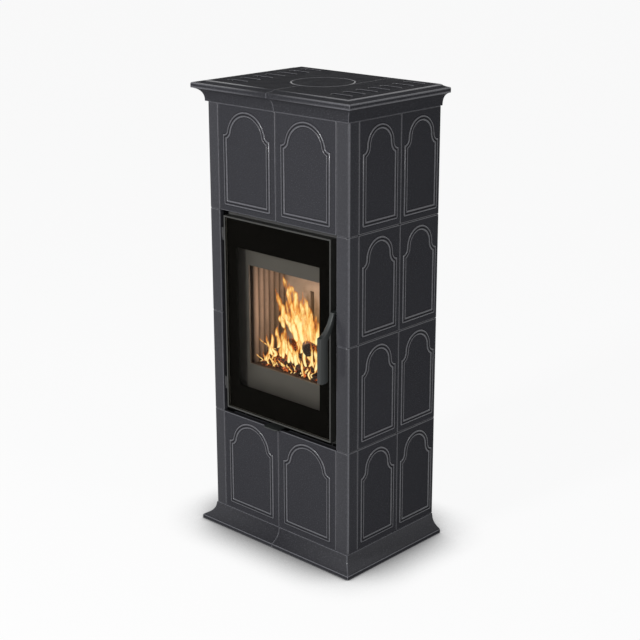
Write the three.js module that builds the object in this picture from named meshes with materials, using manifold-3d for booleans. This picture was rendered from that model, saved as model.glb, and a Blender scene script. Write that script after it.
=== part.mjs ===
// A free-standing tiled stove: a wood stove dressed in glazed ceramic tiles with arched double-bead
// relief, between a moulded plinth and a coved crown, with a glazed fire door.
// Millimetres, +Z up, +Y towards the wall. Inside the stove group x is measured from the middle,
// y from the face of the front tiles and z from the floor.

import * as THREE from 'three';
import { mergeVertices } from 'three/addons/utils/BufferGeometryUtils.js';
import Module from 'manifold-3d';

const wasm = await Module();
wasm.setup();

// ---------- Driving dimensions ----------

const seat = 0.3; // least gap between two pieces that touch

// Tile grid
const frontTilePitch = 242;
const sideTilePitch = 182.5;
const cornerLeg = 46;
const rowPitch = 330;
const rowCount = 4;
const tileJoint = 0.6;
const tileBevel = 2;
const plateThickness = 12;
const tileDepth = 40;
const rumpInset = 10;
const cornerWall = 16;
const cornerRadius = 9.5;

// Arched relief: two beads round a groove
const beadWidth = 16;
const beadHeight = 2.4;
const grooveHeight = 0.5;
const reliefRoot = 0.8; // how deep the relief's foot lies in the tile plate
const frontArch = {
  halfWidth: 98.5,
  bottom: 20,
  footRadius: 6,
  shoulder: 237,
  notchTop: 250,
  archRadius: 82.3,
  archCentre: 232,
};
const sideArch = {
  halfWidth: 77.5,
  bottom: 20,
  footRadius: 6,
  shoulder: 233,
  notchTop: 253,
  archRadius: 59,
  archCentre: 253,
};

// Plinth: height and its moulding as [overhang, drop below the tiles]
const plinthHeight = 58;
const plinthOverhang = 33.6;
const plinthFascia = 11.2;
const plinthMoulding = [
  [27.6, 43],
  [20.5, 39],
  [11, 31],
  [3.8, 20],
  [1, 7.4],
  [0, 2],
];
const mouldingWall = 20; // how far plinth and crown reach inwards from the tile face

// Crown: height and its moulding as [overhang, height above the tiles]
const crownHeight = 63;
const crownOverhang = 35;
const crownMoulding = [
  [5, 0],
  [5, 6],
  [5.9, 13],
  [7.8, 20],
  [11.2, 27],
  [16.2, 33],
  [23, 37.6],
  [30, 40.2],
  [34, 41.2],
  [crownOverhang, 42.4],
  [crownOverhang, 54],
  [34.2, 56.2],
  [32, 57.3],
  [22, 57.8],
  [13, 58.8],
  [6, 60.3],
  [2.5, 61.6],
  [0, 62.8],
];
const crownSlab = 25;
const slotCount = 7;
const slotLength = 75;
const slotWidth = 18;
const slotInset = 77; // slot centre from the side tiles' face
const firstSlot = 56; // first slot's centre behind the front tiles' face
const lastSlot = 35; // last slot's centre ahead of the back

// Round cover in the crown
const coverRadius = 97;
const coverClearance = 0.5;
const coverLedge = 12;
const coverRim = 13;
const coverTravelSeam = 2; // the rear seam lies this far inside the cover's radius

// Base
const basePlate = 8;
const footHeight = 44;
const footRadius = 22;
const footPad = 10;
const footStem = 6;
const footInset = 58; // from the side tiles' face
const footInsetRear = 41;

// Door leaf
const doorSideGap = 19;
const doorTopGap = 14;
const doorBottomGap = 19.5;
const leafFront = 3; // how far the rim stands ahead of the tile face
const leafDepth = 25;
const rimWidth = 5;
const leafFlange = 35;
const leafRail = 24;
const glassThickness = 5;
const glassProud = 1.5;
const sealRadius = 6.5;
const sealInset = 12;

// Door hinge, in the gap beside the leaf
const hingeGap = 8; // axis beside the leaf's left edge
const hingeDepth = 5; // axis behind the tile face
const pinRadius = 3.5;
const knuckleRadius = 7;
const knuckleHeight = 30;
const hingeArm = 10;
const hingeInset = 70; // hinge from the leaf's upper and lower edge

// Front plate and firebox
const frontPlateY = 36;
const frontPlateThickness = 6;
const throatLip = 3; // how far the front plate's edge covers the side linings
const throatSill = 8; // lower edge of the throat above the hearth
const shellHalfWidth = 190;
const shellBottom = 520;
const shellRear = 300;
const shellWall = 4;
const smokeSpace = 120; // from the top of the linings to the shell's top
const liningFront = 62;
const liningHeight = 328;
const sideLiningThickness = 26;
const fireRear = 200;
const rearLining = 28;
const hearthThickness = 28;
const ribCount = 6;
const fluteDepth = 7;
const airSlotWidth = 16;
const airSlotCentre = 42;
const airSlotFoot = 98; // above the hearth
const airSlotHeight = 132;
const baffleThickness = 25;
const baffleFront = 100;

// Stand under the firebox, and the combustion-air slide
const standSheet = 4;
const portPlate = 6;
const slidePlate = 4;
const slideRear = 116;
const slideMargin = 12; // plate beyond the slide's rear edge
const leverWidth = 60;
const leverCentre = -20;
const leverReach = 18;
const leverTravel = 60;
const slideHalfWidth = 90;
const portCount = 3;
const portPitch = 40;
const portWidth = 14;
const portLength = 44;

// Flue
const flueRadius = 75;
const flueWall = 2;
const flueRise = 60;
const flueBend = 110;
const flueReach = 45; // beyond the back of the tiles
const rearPanelThickness = 3;

// Door handle, in the gap beside the leaf, with its pivot across the stove
const handleWidth = 15.5;
const handleReach = 62;
const gripDepth = 32;
const gripLength = 143;
const gripDrop = 60; // top of the grip below the pivot
const hornRise = 6; // tip of the horn above the pivot
const pivotDepth = 8;
const pivotHeight = 812;
const pivotBoss = 9;
const pivotRadius = 4;
const latchReach = 31;
const strikeHeight = 14;

// ---------- Sizes worked out from them ----------

const bodyHalfWidth = cornerLeg + frontTilePitch;
const bodyDepth = cornerLeg + 2 * sideTilePitch;
const tilesBottom = plinthHeight;
const tilesTop = plinthHeight + rowCount * rowPitch;
const crownTop = tilesTop + crownHeight;
const stoveRear = bodyDepth + flueReach;
const coverY = bodyDepth / 2;
const openingHalfWidth = frontTilePitch;
const openingBottom = tilesBottom + rowPitch;
const openingTop = tilesBottom + (rowCount - 1) * rowPitch;
const leafHalfWidth = openingHalfWidth - doorSideGap;
const leafBottom = openingBottom + doorBottomGap;
const leafTop = openingTop - doorTopGap;
const leafRear = leafDepth - leafFront;
const hingeX = -leafHalfWidth - hingeGap;
const frontPlateRear = frontPlateY + frontPlateThickness;
const shellFront = frontPlateRear + seat;
const liningHalfWidth = shellHalfWidth - shellWall - seat;
const fireHalfWidth = liningHalfWidth - sideLiningThickness;
const throatHalfWidth = fireHalfWidth - throatLip;
const hearthTop = shellBottom + shellWall + seat + hearthThickness;
const liningTop = hearthTop + liningHeight;
const throatBottom = hearthTop + throatSill;
const throatTop = liningTop;
const shellTop = liningTop + smokeSpace;
const airSlotBottom = hearthTop + airSlotFoot;
const airSlotTop = airSlotBottom + airSlotHeight;
const innerFace = mouldingWall + seat;
const basePlateTop = footHeight + basePlate;
const slideBottom = openingBottom + 1.5;
const slideTop = slideBottom + slidePlate;
const portPlateTop = slideBottom - seat;
const coverThickness = crownSlab;
const gripTop = pivotHeight - gripDrop;
const gripBottom = gripTop - gripLength;
const hornTop = pivotHeight + hornRise;

// ---------- Making and joining solids ----------

// The same surface with shared vertices and no flat triangles.
function weld(geometry) {
  const bare = geometry.clone();
  bare.deleteAttribute('normal');
  bare.deleteAttribute('uv');
  const welded = mergeVertices(bare, 1e-4);
  const kept = [];
  const corner = welded.index.array;
  for (let i = 0; i < corner.length; i += 3) {
    const [a, b, c] = [corner[i], corner[i + 1], corner[i + 2]];
    if (a !== b && b !== c && c !== a) kept.push(a, b, c);
  }
  welded.setIndex(kept);
  return welded;
}

function toSolid(geometry) {
  const welded = weld(geometry);
  const mesh = new wasm.Mesh({
    numProp: 3,
    vertProperties: new Float32Array(welded.attributes.position.array),
    triVerts: new Uint32Array(welded.index.array),
  });
  return new wasm.Manifold(mesh);
}

function toGeometry(solid) {
  const mesh = solid.getMesh();
  const geometry = new THREE.BufferGeometry();
  geometry.setAttribute('position', new THREE.BufferAttribute(mesh.vertProperties, 3));
  geometry.setIndex(new THREE.BufferAttribute(mesh.triVerts, 1));
  geometry.computeVertexNormals();
  return geometry;
}

function join(first, ...others) {
  let solid = toSolid(first);
  for (const other of others) solid = solid.add(toSolid(other));
  return toGeometry(solid);
}

function cut(first, ...cutters) {
  let solid = toSolid(first);
  for (const cutter of cutters) solid = solid.subtract(toSolid(cutter));
  return toGeometry(solid);
}

// Skin over rings of equal point counts. Closed on itself, or capped at both ends.
function loft(rings, closed = false) {
  const count = rings[0].length;
  const points = rings.flat();
  const corner = [];
  const spans = closed ? rings.length : rings.length - 1;
  for (let j = 0; j < spans; j += 1) {
    const here = j * count;
    const next = ((j + 1) % rings.length) * count;
    for (let i = 0; i < count; i += 1) {
      const k = (i + 1) % count;
      corner.push(here + i, here + k, next + k, here + i, next + k, next + i);
    }
  }
  if (!closed) {
    const last = (rings.length - 1) * count;
    for (let i = 1; i < count - 1; i += 1) {
      corner.push(0, i + 1, i);
      corner.push(last, last + i, last + i + 1);
    }
  }
  const geometry = new THREE.BufferGeometry().setFromPoints(points);
  geometry.setIndex(corner);
  return outward(geometry);
}

// The same closed surface with its faces pointing out.
function outward(geometry) {
  const position = geometry.attributes.position;
  const corner = Array.from(geometry.index.array);
  const [a, b, c] = [new THREE.Vector3(), new THREE.Vector3(), new THREE.Vector3()];
  let volume = 0;
  for (let i = 0; i < corner.length; i += 3) {
    a.fromBufferAttribute(position, corner[i]);
    b.fromBufferAttribute(position, corner[i + 1]);
    c.fromBufferAttribute(position, corner[i + 2]);
    volume += a.dot(b.cross(c));
  }
  if (volume < 0) corner.reverse();
  geometry.setIndex(corner);
  geometry.computeVertexNormals();
  return geometry;
}

// Upright rectangle at depth y, and level rectangle at height z.
function uprightRing(x0, x1, z0, z1, y) {
  return [[x0, z0], [x1, z0], [x1, z1], [x0, z1]].map(([x, z]) => new THREE.Vector3(x, y, z));
}

function levelRing(x0, x1, y0, y1, z) {
  return [[x0, y0], [x1, y0], [x1, y1], [x0, y1]].map(([x, y]) => new THREE.Vector3(x, y, z));
}

function box(x0, x1, y0, y1, z0, z1) {
  const geometry = new THREE.BoxGeometry(x1 - x0, y1 - y0, z1 - z0);
  geometry.translate((x0 + x1) / 2, (y0 + y1) / 2, (z0 + z1) / 2);
  return geometry;
}

function polygon(points) {
  return new THREE.Shape(points.map(([u, v]) => new THREE.Vector2(u, v)));
}

function rectangle(u0, u1, v0, v1, Kind = THREE.Path) {
  return new Kind([[u0, v0], [u1, v0], [u1, v1], [u0, v1]].map(([u, v]) => new THREE.Vector2(u, v)));
}

// Round-ended slot along u.
function slotPath(centreU, centreV, length, width, Kind = THREE.Path) {
  const radius = width / 2;
  const reach = length / 2 - radius;
  const path = new Kind();
  path.absarc(centreU + reach, centreV, radius, -Math.PI / 2, Math.PI / 2, false);
  path.absarc(centreU - reach, centreV, radius, Math.PI / 2, (3 * Math.PI) / 2, false);
  return path;
}

// Plan outline [x, y] between two heights.
function standing(shape, z0, z1, curveSegments = 6) {
  const geometry = new THREE.ExtrudeGeometry(shape, { depth: z1 - z0, bevelEnabled: false, curveSegments });
  return geometry.translate(0, 0, z0);
}

// Front outline [x, z] between two depths.
function facing(shape, y0, y1, curveSegments = 6) {
  const geometry = new THREE.ExtrudeGeometry(shape, { depth: y1 - y0, bevelEnabled: false, curveSegments });
  return geometry.rotateX(Math.PI / 2).translate(0, y1, 0);
}

// Side outline [y, z] between two x.
function sideways(shape, x0, x1, curveSegments = 6) {
  const geometry = new THREE.ExtrudeGeometry(shape, { depth: x1 - x0, bevelEnabled: false, curveSegments });
  const turn = new THREE.Matrix4().makeBasis(
    new THREE.Vector3(0, 1, 0),
    new THREE.Vector3(0, 0, 1),
    new THREE.Vector3(1, 0, 0),
  );
  return geometry.applyMatrix4(turn).translate(x0, 0, 0);
}

// Profile [radius, z] turned about an upright axis.
function turned(profile, x, y, sides = 24) {
  const geometry = new THREE.LatheGeometry(profile.map(([r, z]) => new THREE.Vector2(r, z)), sides);
  return outward(weld(geometry.rotateX(Math.PI / 2).translate(x, y, 0)));
}

// ---------- Finishes ----------

function finish(color, roughness, metalness) {
  return () => new THREE.MeshStandardMaterial({ color, roughness, metalness });
}

const glaze = finish('#3b3b3f', 0.35, 0);
const blackSteel = finish('#1d1d1e', 0.55, 0.6);
const greySteel = finish('#4c4c4a', 0.5, 0.7);
const rawSteel = finish('#6a6a68', 0.5, 0.9);
const blackGlass = finish('#0c0c0a', 0.08, 0);
const fireclay = finish('#a8988b', 0.9, 0);
const rope = finish('#3a3835', 0.95, 0);
const castIron = finish('#2c302e', 0.5, 0.4);

// ---------- Assembly ----------

const stove = new THREE.Group();

function place(parent, name, geometry, material) {
  const mesh = new THREE.Mesh(geometry, material());
  mesh.name = name;
  parent.add(mesh);
  return mesh;
}

// ---------- Tiles ----------

// Outline of the arched panel, drawn in by an offset. x from the tile's middle, z from its foot.
function archOutline(arch, offset) {
  const { halfWidth, bottom, footRadius: foot, shoulder, notchTop, archRadius, archCentre } = arch;
  const side = halfWidth - offset;
  const floor = bottom + offset;
  const round = Math.max(foot - offset, 0.6);
  const archTurns = 10;
  const notchTurns = 3;
  const footTurns = 2;
  const right = [];
  for (let i = 0; i <= footTurns; i += 1) {
    const angle = (-Math.PI / 2) * (1 - i / footTurns);
    right.push([side - round + round * Math.cos(angle), floor + round + round * Math.sin(angle)]);
  }
  // The notch is a hollow quarter round whose centre lies outside the panel.
  const reachIn = halfWidth - Math.sqrt(archRadius ** 2 - (notchTop - archCentre) ** 2);
  const notchX = reachIn + offset;
  const notchZ = notchTop - shoulder + offset;
  const first = Math.asin(Math.min(offset / notchX, 1));
  for (let i = 0; i < notchTurns; i += 1) {
    const angle = first + (Math.PI / 2 - first) * (i / notchTurns);
    right.push([halfWidth - notchX * Math.sin(angle), notchTop - notchZ * Math.cos(angle)]);
  }
  const radius = archRadius - offset;
  const spring = Math.asin((notchTop - archCentre) / radius);
  for (let i = 0; i < archTurns / 2; i += 1) {
    const angle = spring + (Math.PI / 2 - spring) * (i / (archTurns / 2));
    right.push([radius * Math.cos(angle), archCentre + radius * Math.sin(angle)]);
  }
  const left = right.map(([x, z]) => [-x, z]).reverse();
  return [...right, [0, archCentre + radius], ...left];
}

// Section of the double bead: [distance in from the outline, height over the tile face].
const beadSection = [
  [0, -reliefRoot],
  [beadWidth * 0.1, beadHeight],
  [beadWidth * 0.3, beadHeight],
  [beadWidth * 0.5, grooveHeight],
  [beadWidth * 0.7, beadHeight],
  [beadWidth * 0.9, beadHeight],
  [beadWidth, -reliefRoot],
];

function archRelief(arch) {
  const rings = beadSection.map(([offset, height]) => (
    archOutline(arch, offset).map(([x, z]) => new THREE.Vector3(x, -height, z))
  ));
  return loft(rings, true);
}

// Flat tile: bevelled face, and behind it the narrower rump with its heat-storing filling.
function flatTile(pitch, arch) {
  const half = (pitch - tileJoint) / 2;
  const low = tileJoint / 2;
  const high = rowPitch - tileJoint / 2;
  const ring = (inset, y) => uprightRing(inset - half, half - inset, low + inset, high - inset, y);
  const plate = loft([
    ring(tileBevel, 0),
    ring(0, tileBevel),
    ring(0, plateThickness),
    ring(rumpInset, plateThickness),
    ring(rumpInset, tileDepth),
  ]);
  return join(plate, archRelief(arch));
}

// Corner tile: two short legs that meet in a rounded edge. side is -1 for the left, 1 for the right.
function cornerTile(side) {
  const leg = cornerLeg - tileJoint / 2;
  const outline = [];
  const turns = 6;
  outline.push([0, leg - tileBevel]);
  for (let i = 0; i <= turns; i += 1) {
    const angle = (Math.PI / 2) * (i / turns);
    outline.push([cornerRadius * (1 - Math.cos(angle)), cornerRadius * (1 - Math.sin(angle))]);
  }
  outline.push([leg - tileBevel, 0]);
  outline.push([leg, tileBevel]);
  outline.push([leg, cornerWall]);
  outline.push([cornerWall, cornerWall]);
  outline.push([cornerWall, leg]);
  outline.push([tileBevel, leg]);
  const shape = polygon(outline.map(([inward, y]) => [side * (bodyHalfWidth - inward), y]));
  const height = rowPitch - tileJoint;
  const geometry = new THREE.ExtrudeGeometry(shape, {
    depth: height - 2 * tileBevel,
    bevelEnabled: true,
    bevelThickness: tileBevel,
    bevelSize: tileBevel,
    bevelOffset: -tileBevel,
    bevelSegments: 1,
  });
  return weld(geometry.translate(0, 0, tileJoint / 2 + tileBevel));
}

const frontTileGeometry = flatTile(frontTilePitch, frontArch);
const sideTileGeometry = flatTile(sideTilePitch, sideArch);
const cornerTileGeometry = { left: cornerTile(-1), right: cornerTile(1) };

for (let row = 0; row < rowCount; row += 1) {
  const z = tilesBottom + row * rowPitch;
  for (const side of ['left', 'right']) {
    const sign = side === 'left' ? -1 : 1;
    const corner = place(stove, `corner_tile_${side}_${row + 1}`, cornerTileGeometry[side], glaze);
    corner.position.set(0, 0, z);
    if (row === 0 || row === rowCount - 1) {
      const front = place(stove, `front_tile_${side}_${row + 1}`, frontTileGeometry, glaze);
      front.position.set((sign * frontTilePitch) / 2, 0, z);
    }
    for (const [column, label] of ['fore', 'aft'].entries()) {
      const tile = place(stove, `side_tile_${side}_${label}_${row + 1}`, sideTileGeometry, glaze);
      tile.position.set(sign * bodyHalfWidth, cornerLeg + (column + 0.5) * sideTilePitch, z);
      tile.rotation.z = (sign * Math.PI) / 2;
    }
  }
}

// ---------- Plinth and crown ----------

// Level outline of a moulding course that overhangs the tiles on three sides and ends flush behind.
function courseRing(overhang, z) {
  const half = bodyHalfWidth + overhang;
  return levelRing(-half, half, -overhang, bodyDepth, z);
}

function plinthCourse() {
  const top = tilesBottom - tileJoint / 2;
  const rings = [courseRing(plinthOverhang, 0), courseRing(plinthOverhang, plinthFascia)];
  for (const [overhang, drop] of plinthMoulding) rings.push(courseRing(overhang, tilesBottom - drop));
  rings.push(courseRing(-tileBevel / 2, top));
  const inner = bodyHalfWidth - mouldingWall;
  const hollow = box(-inner, inner, mouldingWall, bodyDepth + mouldingWall, -mouldingWall, crownTop);
  return cut(loft(rings), hollow);
}

function halfSpace(x0, x1, y0 = -bodyDepth, y1 = 2 * bodyDepth) {
  return box(x0, x1, y0, y1, -crownTop, 2 * crownTop);
}

const plinth = plinthCourse();
const farSide = 2 * bodyHalfWidth;
place(stove, 'plinth_left', cut(plinth, halfSpace(-tileJoint / 2, farSide)), glaze);
place(stove, 'plinth_right', cut(plinth, halfSpace(-farSide, tileJoint / 2)), glaze);

function crownCourse() {
  const base = tilesTop + tileJoint / 2;
  const ceiling = crownTop - crownSlab;
  const inner = bodyHalfWidth - mouldingWall;
  const hollow = (z) => levelRing(-inner, inner, mouldingWall, bodyDepth - mouldingWall, z);
  const rings = [hollow(ceiling), hollow(base)];
  for (const [overhang, rise] of crownMoulding) rings.push(courseRing(overhang, Math.max(base, tilesTop + rise)));
  rings.push(courseRing(-2, crownTop));
  return loft(rings);
}

// The hole for the round cover, with the ledge that the cover's rim rests on.
function coverHole() {
  const ledgeZ = crownTop - coverRim;
  const wide = coverRadius;
  const narrow = coverRadius - coverLedge;
  return turned([
    [0, crownTop - 2 * crownSlab],
    [narrow, crownTop - 2 * crownSlab],
    [narrow, ledgeZ],
    [wide, ledgeZ],
    [wide, crownTop + crownSlab],
    [0, crownTop + crownSlab],
  ], 0, coverY, 36);
}

function slotCutters(sign) {
  const pitch = (bodyDepth - lastSlot - firstSlot) / (slotCount - 1);
  const cutters = [];
  for (let i = 0; i < slotCount; i += 1) {
    const path = slotPath(sign * (bodyHalfWidth - slotInset), firstSlot + i * pitch, slotLength, slotWidth, THREE.Shape);
    cutters.push(standing(path, crownTop - 2 * crownSlab, crownTop + crownSlab, 3));
  }
  return cutters;
}

const crown = cut(crownCourse(), coverHole());
const rearSeam = coverRadius - coverTravelSeam;
const gap = tileJoint / 2;
const crownLeft = cut(
  crown,
  halfSpace(-gap, farSide, -bodyDepth, coverY),
  halfSpace(rearSeam - gap, farSide, coverY - 1),
  ...slotCutters(-1),
);
const crownRight = cut(
  crown,
  halfSpace(-farSide, gap, -bodyDepth, coverY + 1),
  halfSpace(-farSide, rearSeam + gap, coverY),
  ...slotCutters(1),
);
place(stove, 'crown_left', crownLeft, glaze);
place(stove, 'crown_right', crownRight, glaze);

// The round cover: a rim that hangs on the ledge and a boss that centres it.
const coverBottom = crownTop - coverThickness;
const coverOuter = coverRadius - coverClearance;
const coverBoss = coverRadius - coverLedge - coverClearance;
place(stove, 'round_cover', turned([
  [0, coverBottom],
  [coverBoss, coverBottom],
  [coverBoss, crownTop - coverRim + seat],
  [coverOuter, crownTop - coverRim + seat],
  [coverOuter, crownTop - tileBevel],
  [coverOuter - tileBevel, crownTop],
  [0, crownTop],
], 0, coverY, 36), glaze);

// ---------- Base, stand and back ----------

const baseHalfWidth = bodyHalfWidth - innerFace;
place(stove, 'base_plate', box(
  -baseHalfWidth,
  baseHalfWidth,
  innerFace,
  bodyDepth - innerFace,
  footHeight,
  basePlateTop,
), blackSteel);

for (const [side, sign] of [['left', -1], ['right', 1]]) {
  for (const [label, y] of [['front', footInset], ['rear', bodyDepth - footInsetRear]]) {
    place(stove, `foot_${label}_${side}`, turned([
      [0, 0],
      [footRadius, 0],
      [footRadius, footPad * 0.6],
      [footStem * 1.6, footPad],
      [footStem, footPad],
      [footStem, footHeight - seat],
      [0, footHeight - seat],
    ], sign * (bodyHalfWidth - footInset), y, 16), rawSteel);
  }
}

// Stand: one upright plate under each side of the firebox.
for (const [side, sign] of [['left', -1], ['right', 1]]) {
  const outer = sign * shellHalfWidth;
  const inner = sign * (shellHalfWidth - standSheet);
  place(stove, `stand_${side}`, box(
    Math.min(outer, inner),
    Math.max(outer, inner),
    shellFront,
    shellRear,
    basePlateTop + seat,
    shellBottom - seat,
  ), blackSteel);
}

// Air ports through the slide plate and the plate under it.
function portCutters() {
  const cutters = [];
  const y = (shellFront + slideRear) / 2;
  for (let i = 0; i < portCount; i += 1) {
    const x = leverCentre + (i - (portCount - 1) / 2) * portPitch;
    cutters.push(box(
      x - portWidth / 2,
      x + portWidth / 2,
      y - portLength / 2,
      y + portLength / 2,
      portPlateTop - 2 * portPlate,
      slideTop + portPlate,
    ));
  }
  return cutters;
}

const portHalfWidth = shellHalfWidth - standSheet - seat;
const portSheet = box(
  -portHalfWidth,
  portHalfWidth,
  shellFront,
  slideRear + 2 * slideMargin,
  portPlateTop - portPlate,
  portPlateTop,
);
place(stove, 'air_port_plate', cut(portSheet, ...portCutters()), blackSteel);

// The slide plate, with the tongue that reaches out under the door as its lever.
function airSlideShape() {
  const left = leverCentre - leverWidth / 2;
  const right = leverCentre + leverWidth / 2;
  const round = leverReach / 2;
  const step = shellFront + seat;
  const shape = new THREE.Shape();
  shape.moveTo(left + round, -leverReach);
  shape.lineTo(right - round, -leverReach);
  shape.absarc(right - round, -leverReach + round, round, -Math.PI / 2, 0, false);
  shape.lineTo(right, step);
  shape.lineTo(leverCentre + slideHalfWidth, step);
  shape.lineTo(leverCentre + slideHalfWidth, slideRear);
  shape.lineTo(leverCentre - slideHalfWidth, slideRear);
  shape.lineTo(leverCentre - slideHalfWidth, step);
  shape.lineTo(left, step);
  shape.lineTo(left, -leverReach + round);
  shape.absarc(left + round, -leverReach + round, round, Math.PI, (3 * Math.PI) / 2, false);
  return shape;
}

const airSlide = standing(airSlideShape(), slideBottom, slideTop, 3);
place(stove, 'air_lever', cut(airSlide, ...portCutters()), castIron);

const panelHalfWidth = bodyHalfWidth - plateThickness - seat;
const panelShape = rectangle(-panelHalfWidth, panelHalfWidth, tilesBottom, tilesTop - tileJoint / 2, THREE.Shape);
const flueHeight = shellTop + seat + flueRise + flueBend;
const panelHole = new THREE.Path();
const holeSides = 24;
const holeRadius = (flueRadius + seat) / Math.cos(Math.PI / holeSides); // its flats clear the pipe
panelHole.absarc(0, flueHeight, holeRadius, 0, 2 * Math.PI, false);
panelShape.holes.push(panelHole);
const panel = facing(panelShape, bodyDepth - rearPanelThickness, bodyDepth, holeSides / 2);
place(stove, 'rear_panel', weld(panel), blackSteel);

// ---------- Firebox ----------

function fireboxShell() {
  const ring = (inset, y) => uprightRing(
    inset - shellHalfWidth,
    shellHalfWidth - inset,
    shellBottom + inset,
    shellTop - inset,
    y,
  );
  const shell = loft([
    ring(shellWall, shellRear - shellWall),
    ring(shellWall, shellFront),
    ring(0, shellFront),
    ring(0, shellRear),
  ]);
  const outlet = turned([
    [0, shellTop - 3 * shellWall],
    [flueRadius - flueWall, shellTop - 3 * shellWall],
    [flueRadius - flueWall, shellTop + 3 * shellWall],
    [0, shellTop + 3 * shellWall],
  ], 0, coverY, 20);
  return cut(shell, outlet);
}

place(stove, 'firebox_shell', fireboxShell(), blackSteel);

function frontPlate() {
  const half = openingHalfWidth - seat;
  const low = openingBottom + seat;
  const high = openingTop - seat;
  const slotTop = slideTop + 2.5;
  const slotLeft = leverCentre - leverWidth / 2 - leverTravel - 2;
  const slotRight = leverCentre + leverWidth / 2 + leverTravel + 2;
  const shape = polygon([
    [-half, low],
    [slotLeft, low],
    [slotLeft, slotTop],
    [slotRight, slotTop],
    [slotRight, low],
    [half, low],
    [half, high],
    [-half, high],
  ]);
  shape.holes.push(rectangle(-throatHalfWidth, throatHalfWidth, throatBottom, throatTop));
  return weld(facing(shape, frontPlateY, frontPlateRear));
}

place(stove, 'front_plate', frontPlate(), blackSteel);

// Fluted side lining: upright half-round ribs on the face towards the fire.
function sideLining(sign) {
  const length = fireRear - seat - liningFront;
  const pitch = length / ribCount;
  const ribTurns = 6;
  const outline = [[liningHalfWidth, liningFront], [liningHalfWidth, fireRear - seat]];
  for (let rib = ribCount - 1; rib >= 0; rib -= 1) {
    for (let i = 0; i < ribTurns; i += 1) {
      const angle = (Math.PI * i) / ribTurns;
      const y = liningFront + pitch * (rib + 0.5 + 0.5 * Math.cos(angle));
      outline.push([fireHalfWidth + fluteDepth * (1 - Math.sin(angle)), y]);
    }
  }
  outline.push([fireHalfWidth + fluteDepth, liningFront]);
  const shape = polygon(outline.map(([x, y]) => [sign * x, y]));
  return weld(standing(shape, hearthTop + seat, liningTop));
}

place(stove, 'lining_left', sideLining(-1), fireclay);
place(stove, 'lining_right', sideLining(1), fireclay);

const liningRear = fireRear + rearLining;
const rearSlab = box(-liningHalfWidth, liningHalfWidth, fireRear, liningRear, hearthTop + seat, liningTop);
const airSlots = [-airSlotCentre, airSlotCentre].map((centre) => box(
  centre - airSlotWidth / 2,
  centre + airSlotWidth / 2,
  fireRear - rearLining,
  liningRear + rearLining,
  airSlotBottom,
  airSlotTop,
));
place(stove, 'lining_rear', cut(rearSlab, ...airSlots), fireclay);

place(stove, 'hearth_slab', box(
  -liningHalfWidth,
  liningHalfWidth,
  shellFront + seat,
  liningRear,
  shellBottom + shellWall + seat,
  hearthTop,
), fireclay);

// The baffle lies on the linings and leaves the smoke a way past its front edge.
const baffleZ = liningTop + seat;
place(stove, 'baffle_plate', weld(sideways(polygon([
  [baffleFront, baffleZ],
  [liningRear, baffleZ],
  [liningRear, baffleZ + baffleThickness],
  [baffleFront + baffleThickness / 2, baffleZ + baffleThickness],
]), -liningHalfWidth, liningHalfWidth)), fireclay);

// Flue elbow: up from the firebox, round the bend and out through the back.
function flueElbow() {
  const start = shellTop + seat;
  const bendStart = start + flueRise;
  const handle = flueBend * 0.5523;
  const path = new THREE.CurvePath();
  const corner = [
    new THREE.Vector3(0, coverY, bendStart),
    new THREE.Vector3(0, coverY + flueBend, bendStart + flueBend),
  ];
  path.add(new THREE.LineCurve3(new THREE.Vector3(0, coverY, start), corner[0]));
  path.add(new THREE.CubicBezierCurve3(
    corner[0],
    new THREE.Vector3(0, coverY, bendStart + handle),
    new THREE.Vector3(0, coverY + flueBend - handle, bendStart + flueBend),
    corner[1],
  ));
  path.add(new THREE.LineCurve3(corner[1], new THREE.Vector3(0, stoveRear, bendStart + flueBend)));
  const section = new THREE.Shape();
  section.absarc(0, 0, flueRadius, 0, 2 * Math.PI, false);
  const bore = new THREE.Path();
  bore.absarc(0, 0, flueRadius - flueWall, 0, 2 * Math.PI, true);
  section.holes.push(bore);
  return weld(new THREE.ExtrudeGeometry(section, { steps: 10, extrudePath: path, curveSegments: 8 }));
}

place(stove, 'flue_elbow', flueElbow(), rawSteel);

// ---------- Door ----------

// Rectangular ring round the leaf. Each section point is [inset from the leaf's edge, depth].
function leafRing(section) {
  const rings = section.map(([inset, y]) => uprightRing(
    inset - leafHalfWidth,
    leafHalfWidth - inset,
    leafBottom + inset,
    leafTop - inset,
    y,
  ));
  return loft(rings, true);
}

const glassFront = -glassProud;
const glassRear = glassFront + glassThickness;
const hingeHeights = [leafBottom + hingeInset, leafTop - hingeInset];

// One knuckle per hinge, strapped to the edge of the leaf.
function hingeKnuckle(z) {
  const bore = pinRadius + seat;
  const sleeve = turned([
    [bore, z],
    [knuckleRadius, z],
    [knuckleRadius, z + knuckleHeight],
    [bore, z + knuckleHeight],
    [bore, z],
  ], hingeX, hingeDepth, 16);
  const strapFront = hingeDepth + (bore + knuckleRadius) / 2;
  const strap = box(hingeX, -leafHalfWidth + 1, strapFront, strapFront + 4, z, z + knuckleHeight);
  return [sleeve, strap];
}

function doorFrame() {
  const section = [
    [0, -leafFront + 1],
    [1, -leafFront],
    [rimWidth - 1, -leafFront],
    [rimWidth, -leafFront + 1],
    [rimWidth, glassRear + seat],
    [leafFlange, glassRear + seat],
    [leafFlange, glassRear + seat + 5],
    [leafRail, glassRear + seat + 5],
    [leafRail, leafRear],
    [0, leafRear],
  ];
  const knuckles = hingeHeights.flatMap((z) => hingeKnuckle(z));
  return join(leafRing(section), ...knuckles);
}

place(stove, 'door_frame', doorFrame(), greySteel);

const glassInset = rimWidth + seat;
place(stove, 'door_glass', box(
  glassInset - leafHalfWidth,
  leafHalfWidth - glassInset,
  glassFront,
  glassRear,
  leafBottom + glassInset,
  leafTop - glassInset,
), blackGlass);

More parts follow.
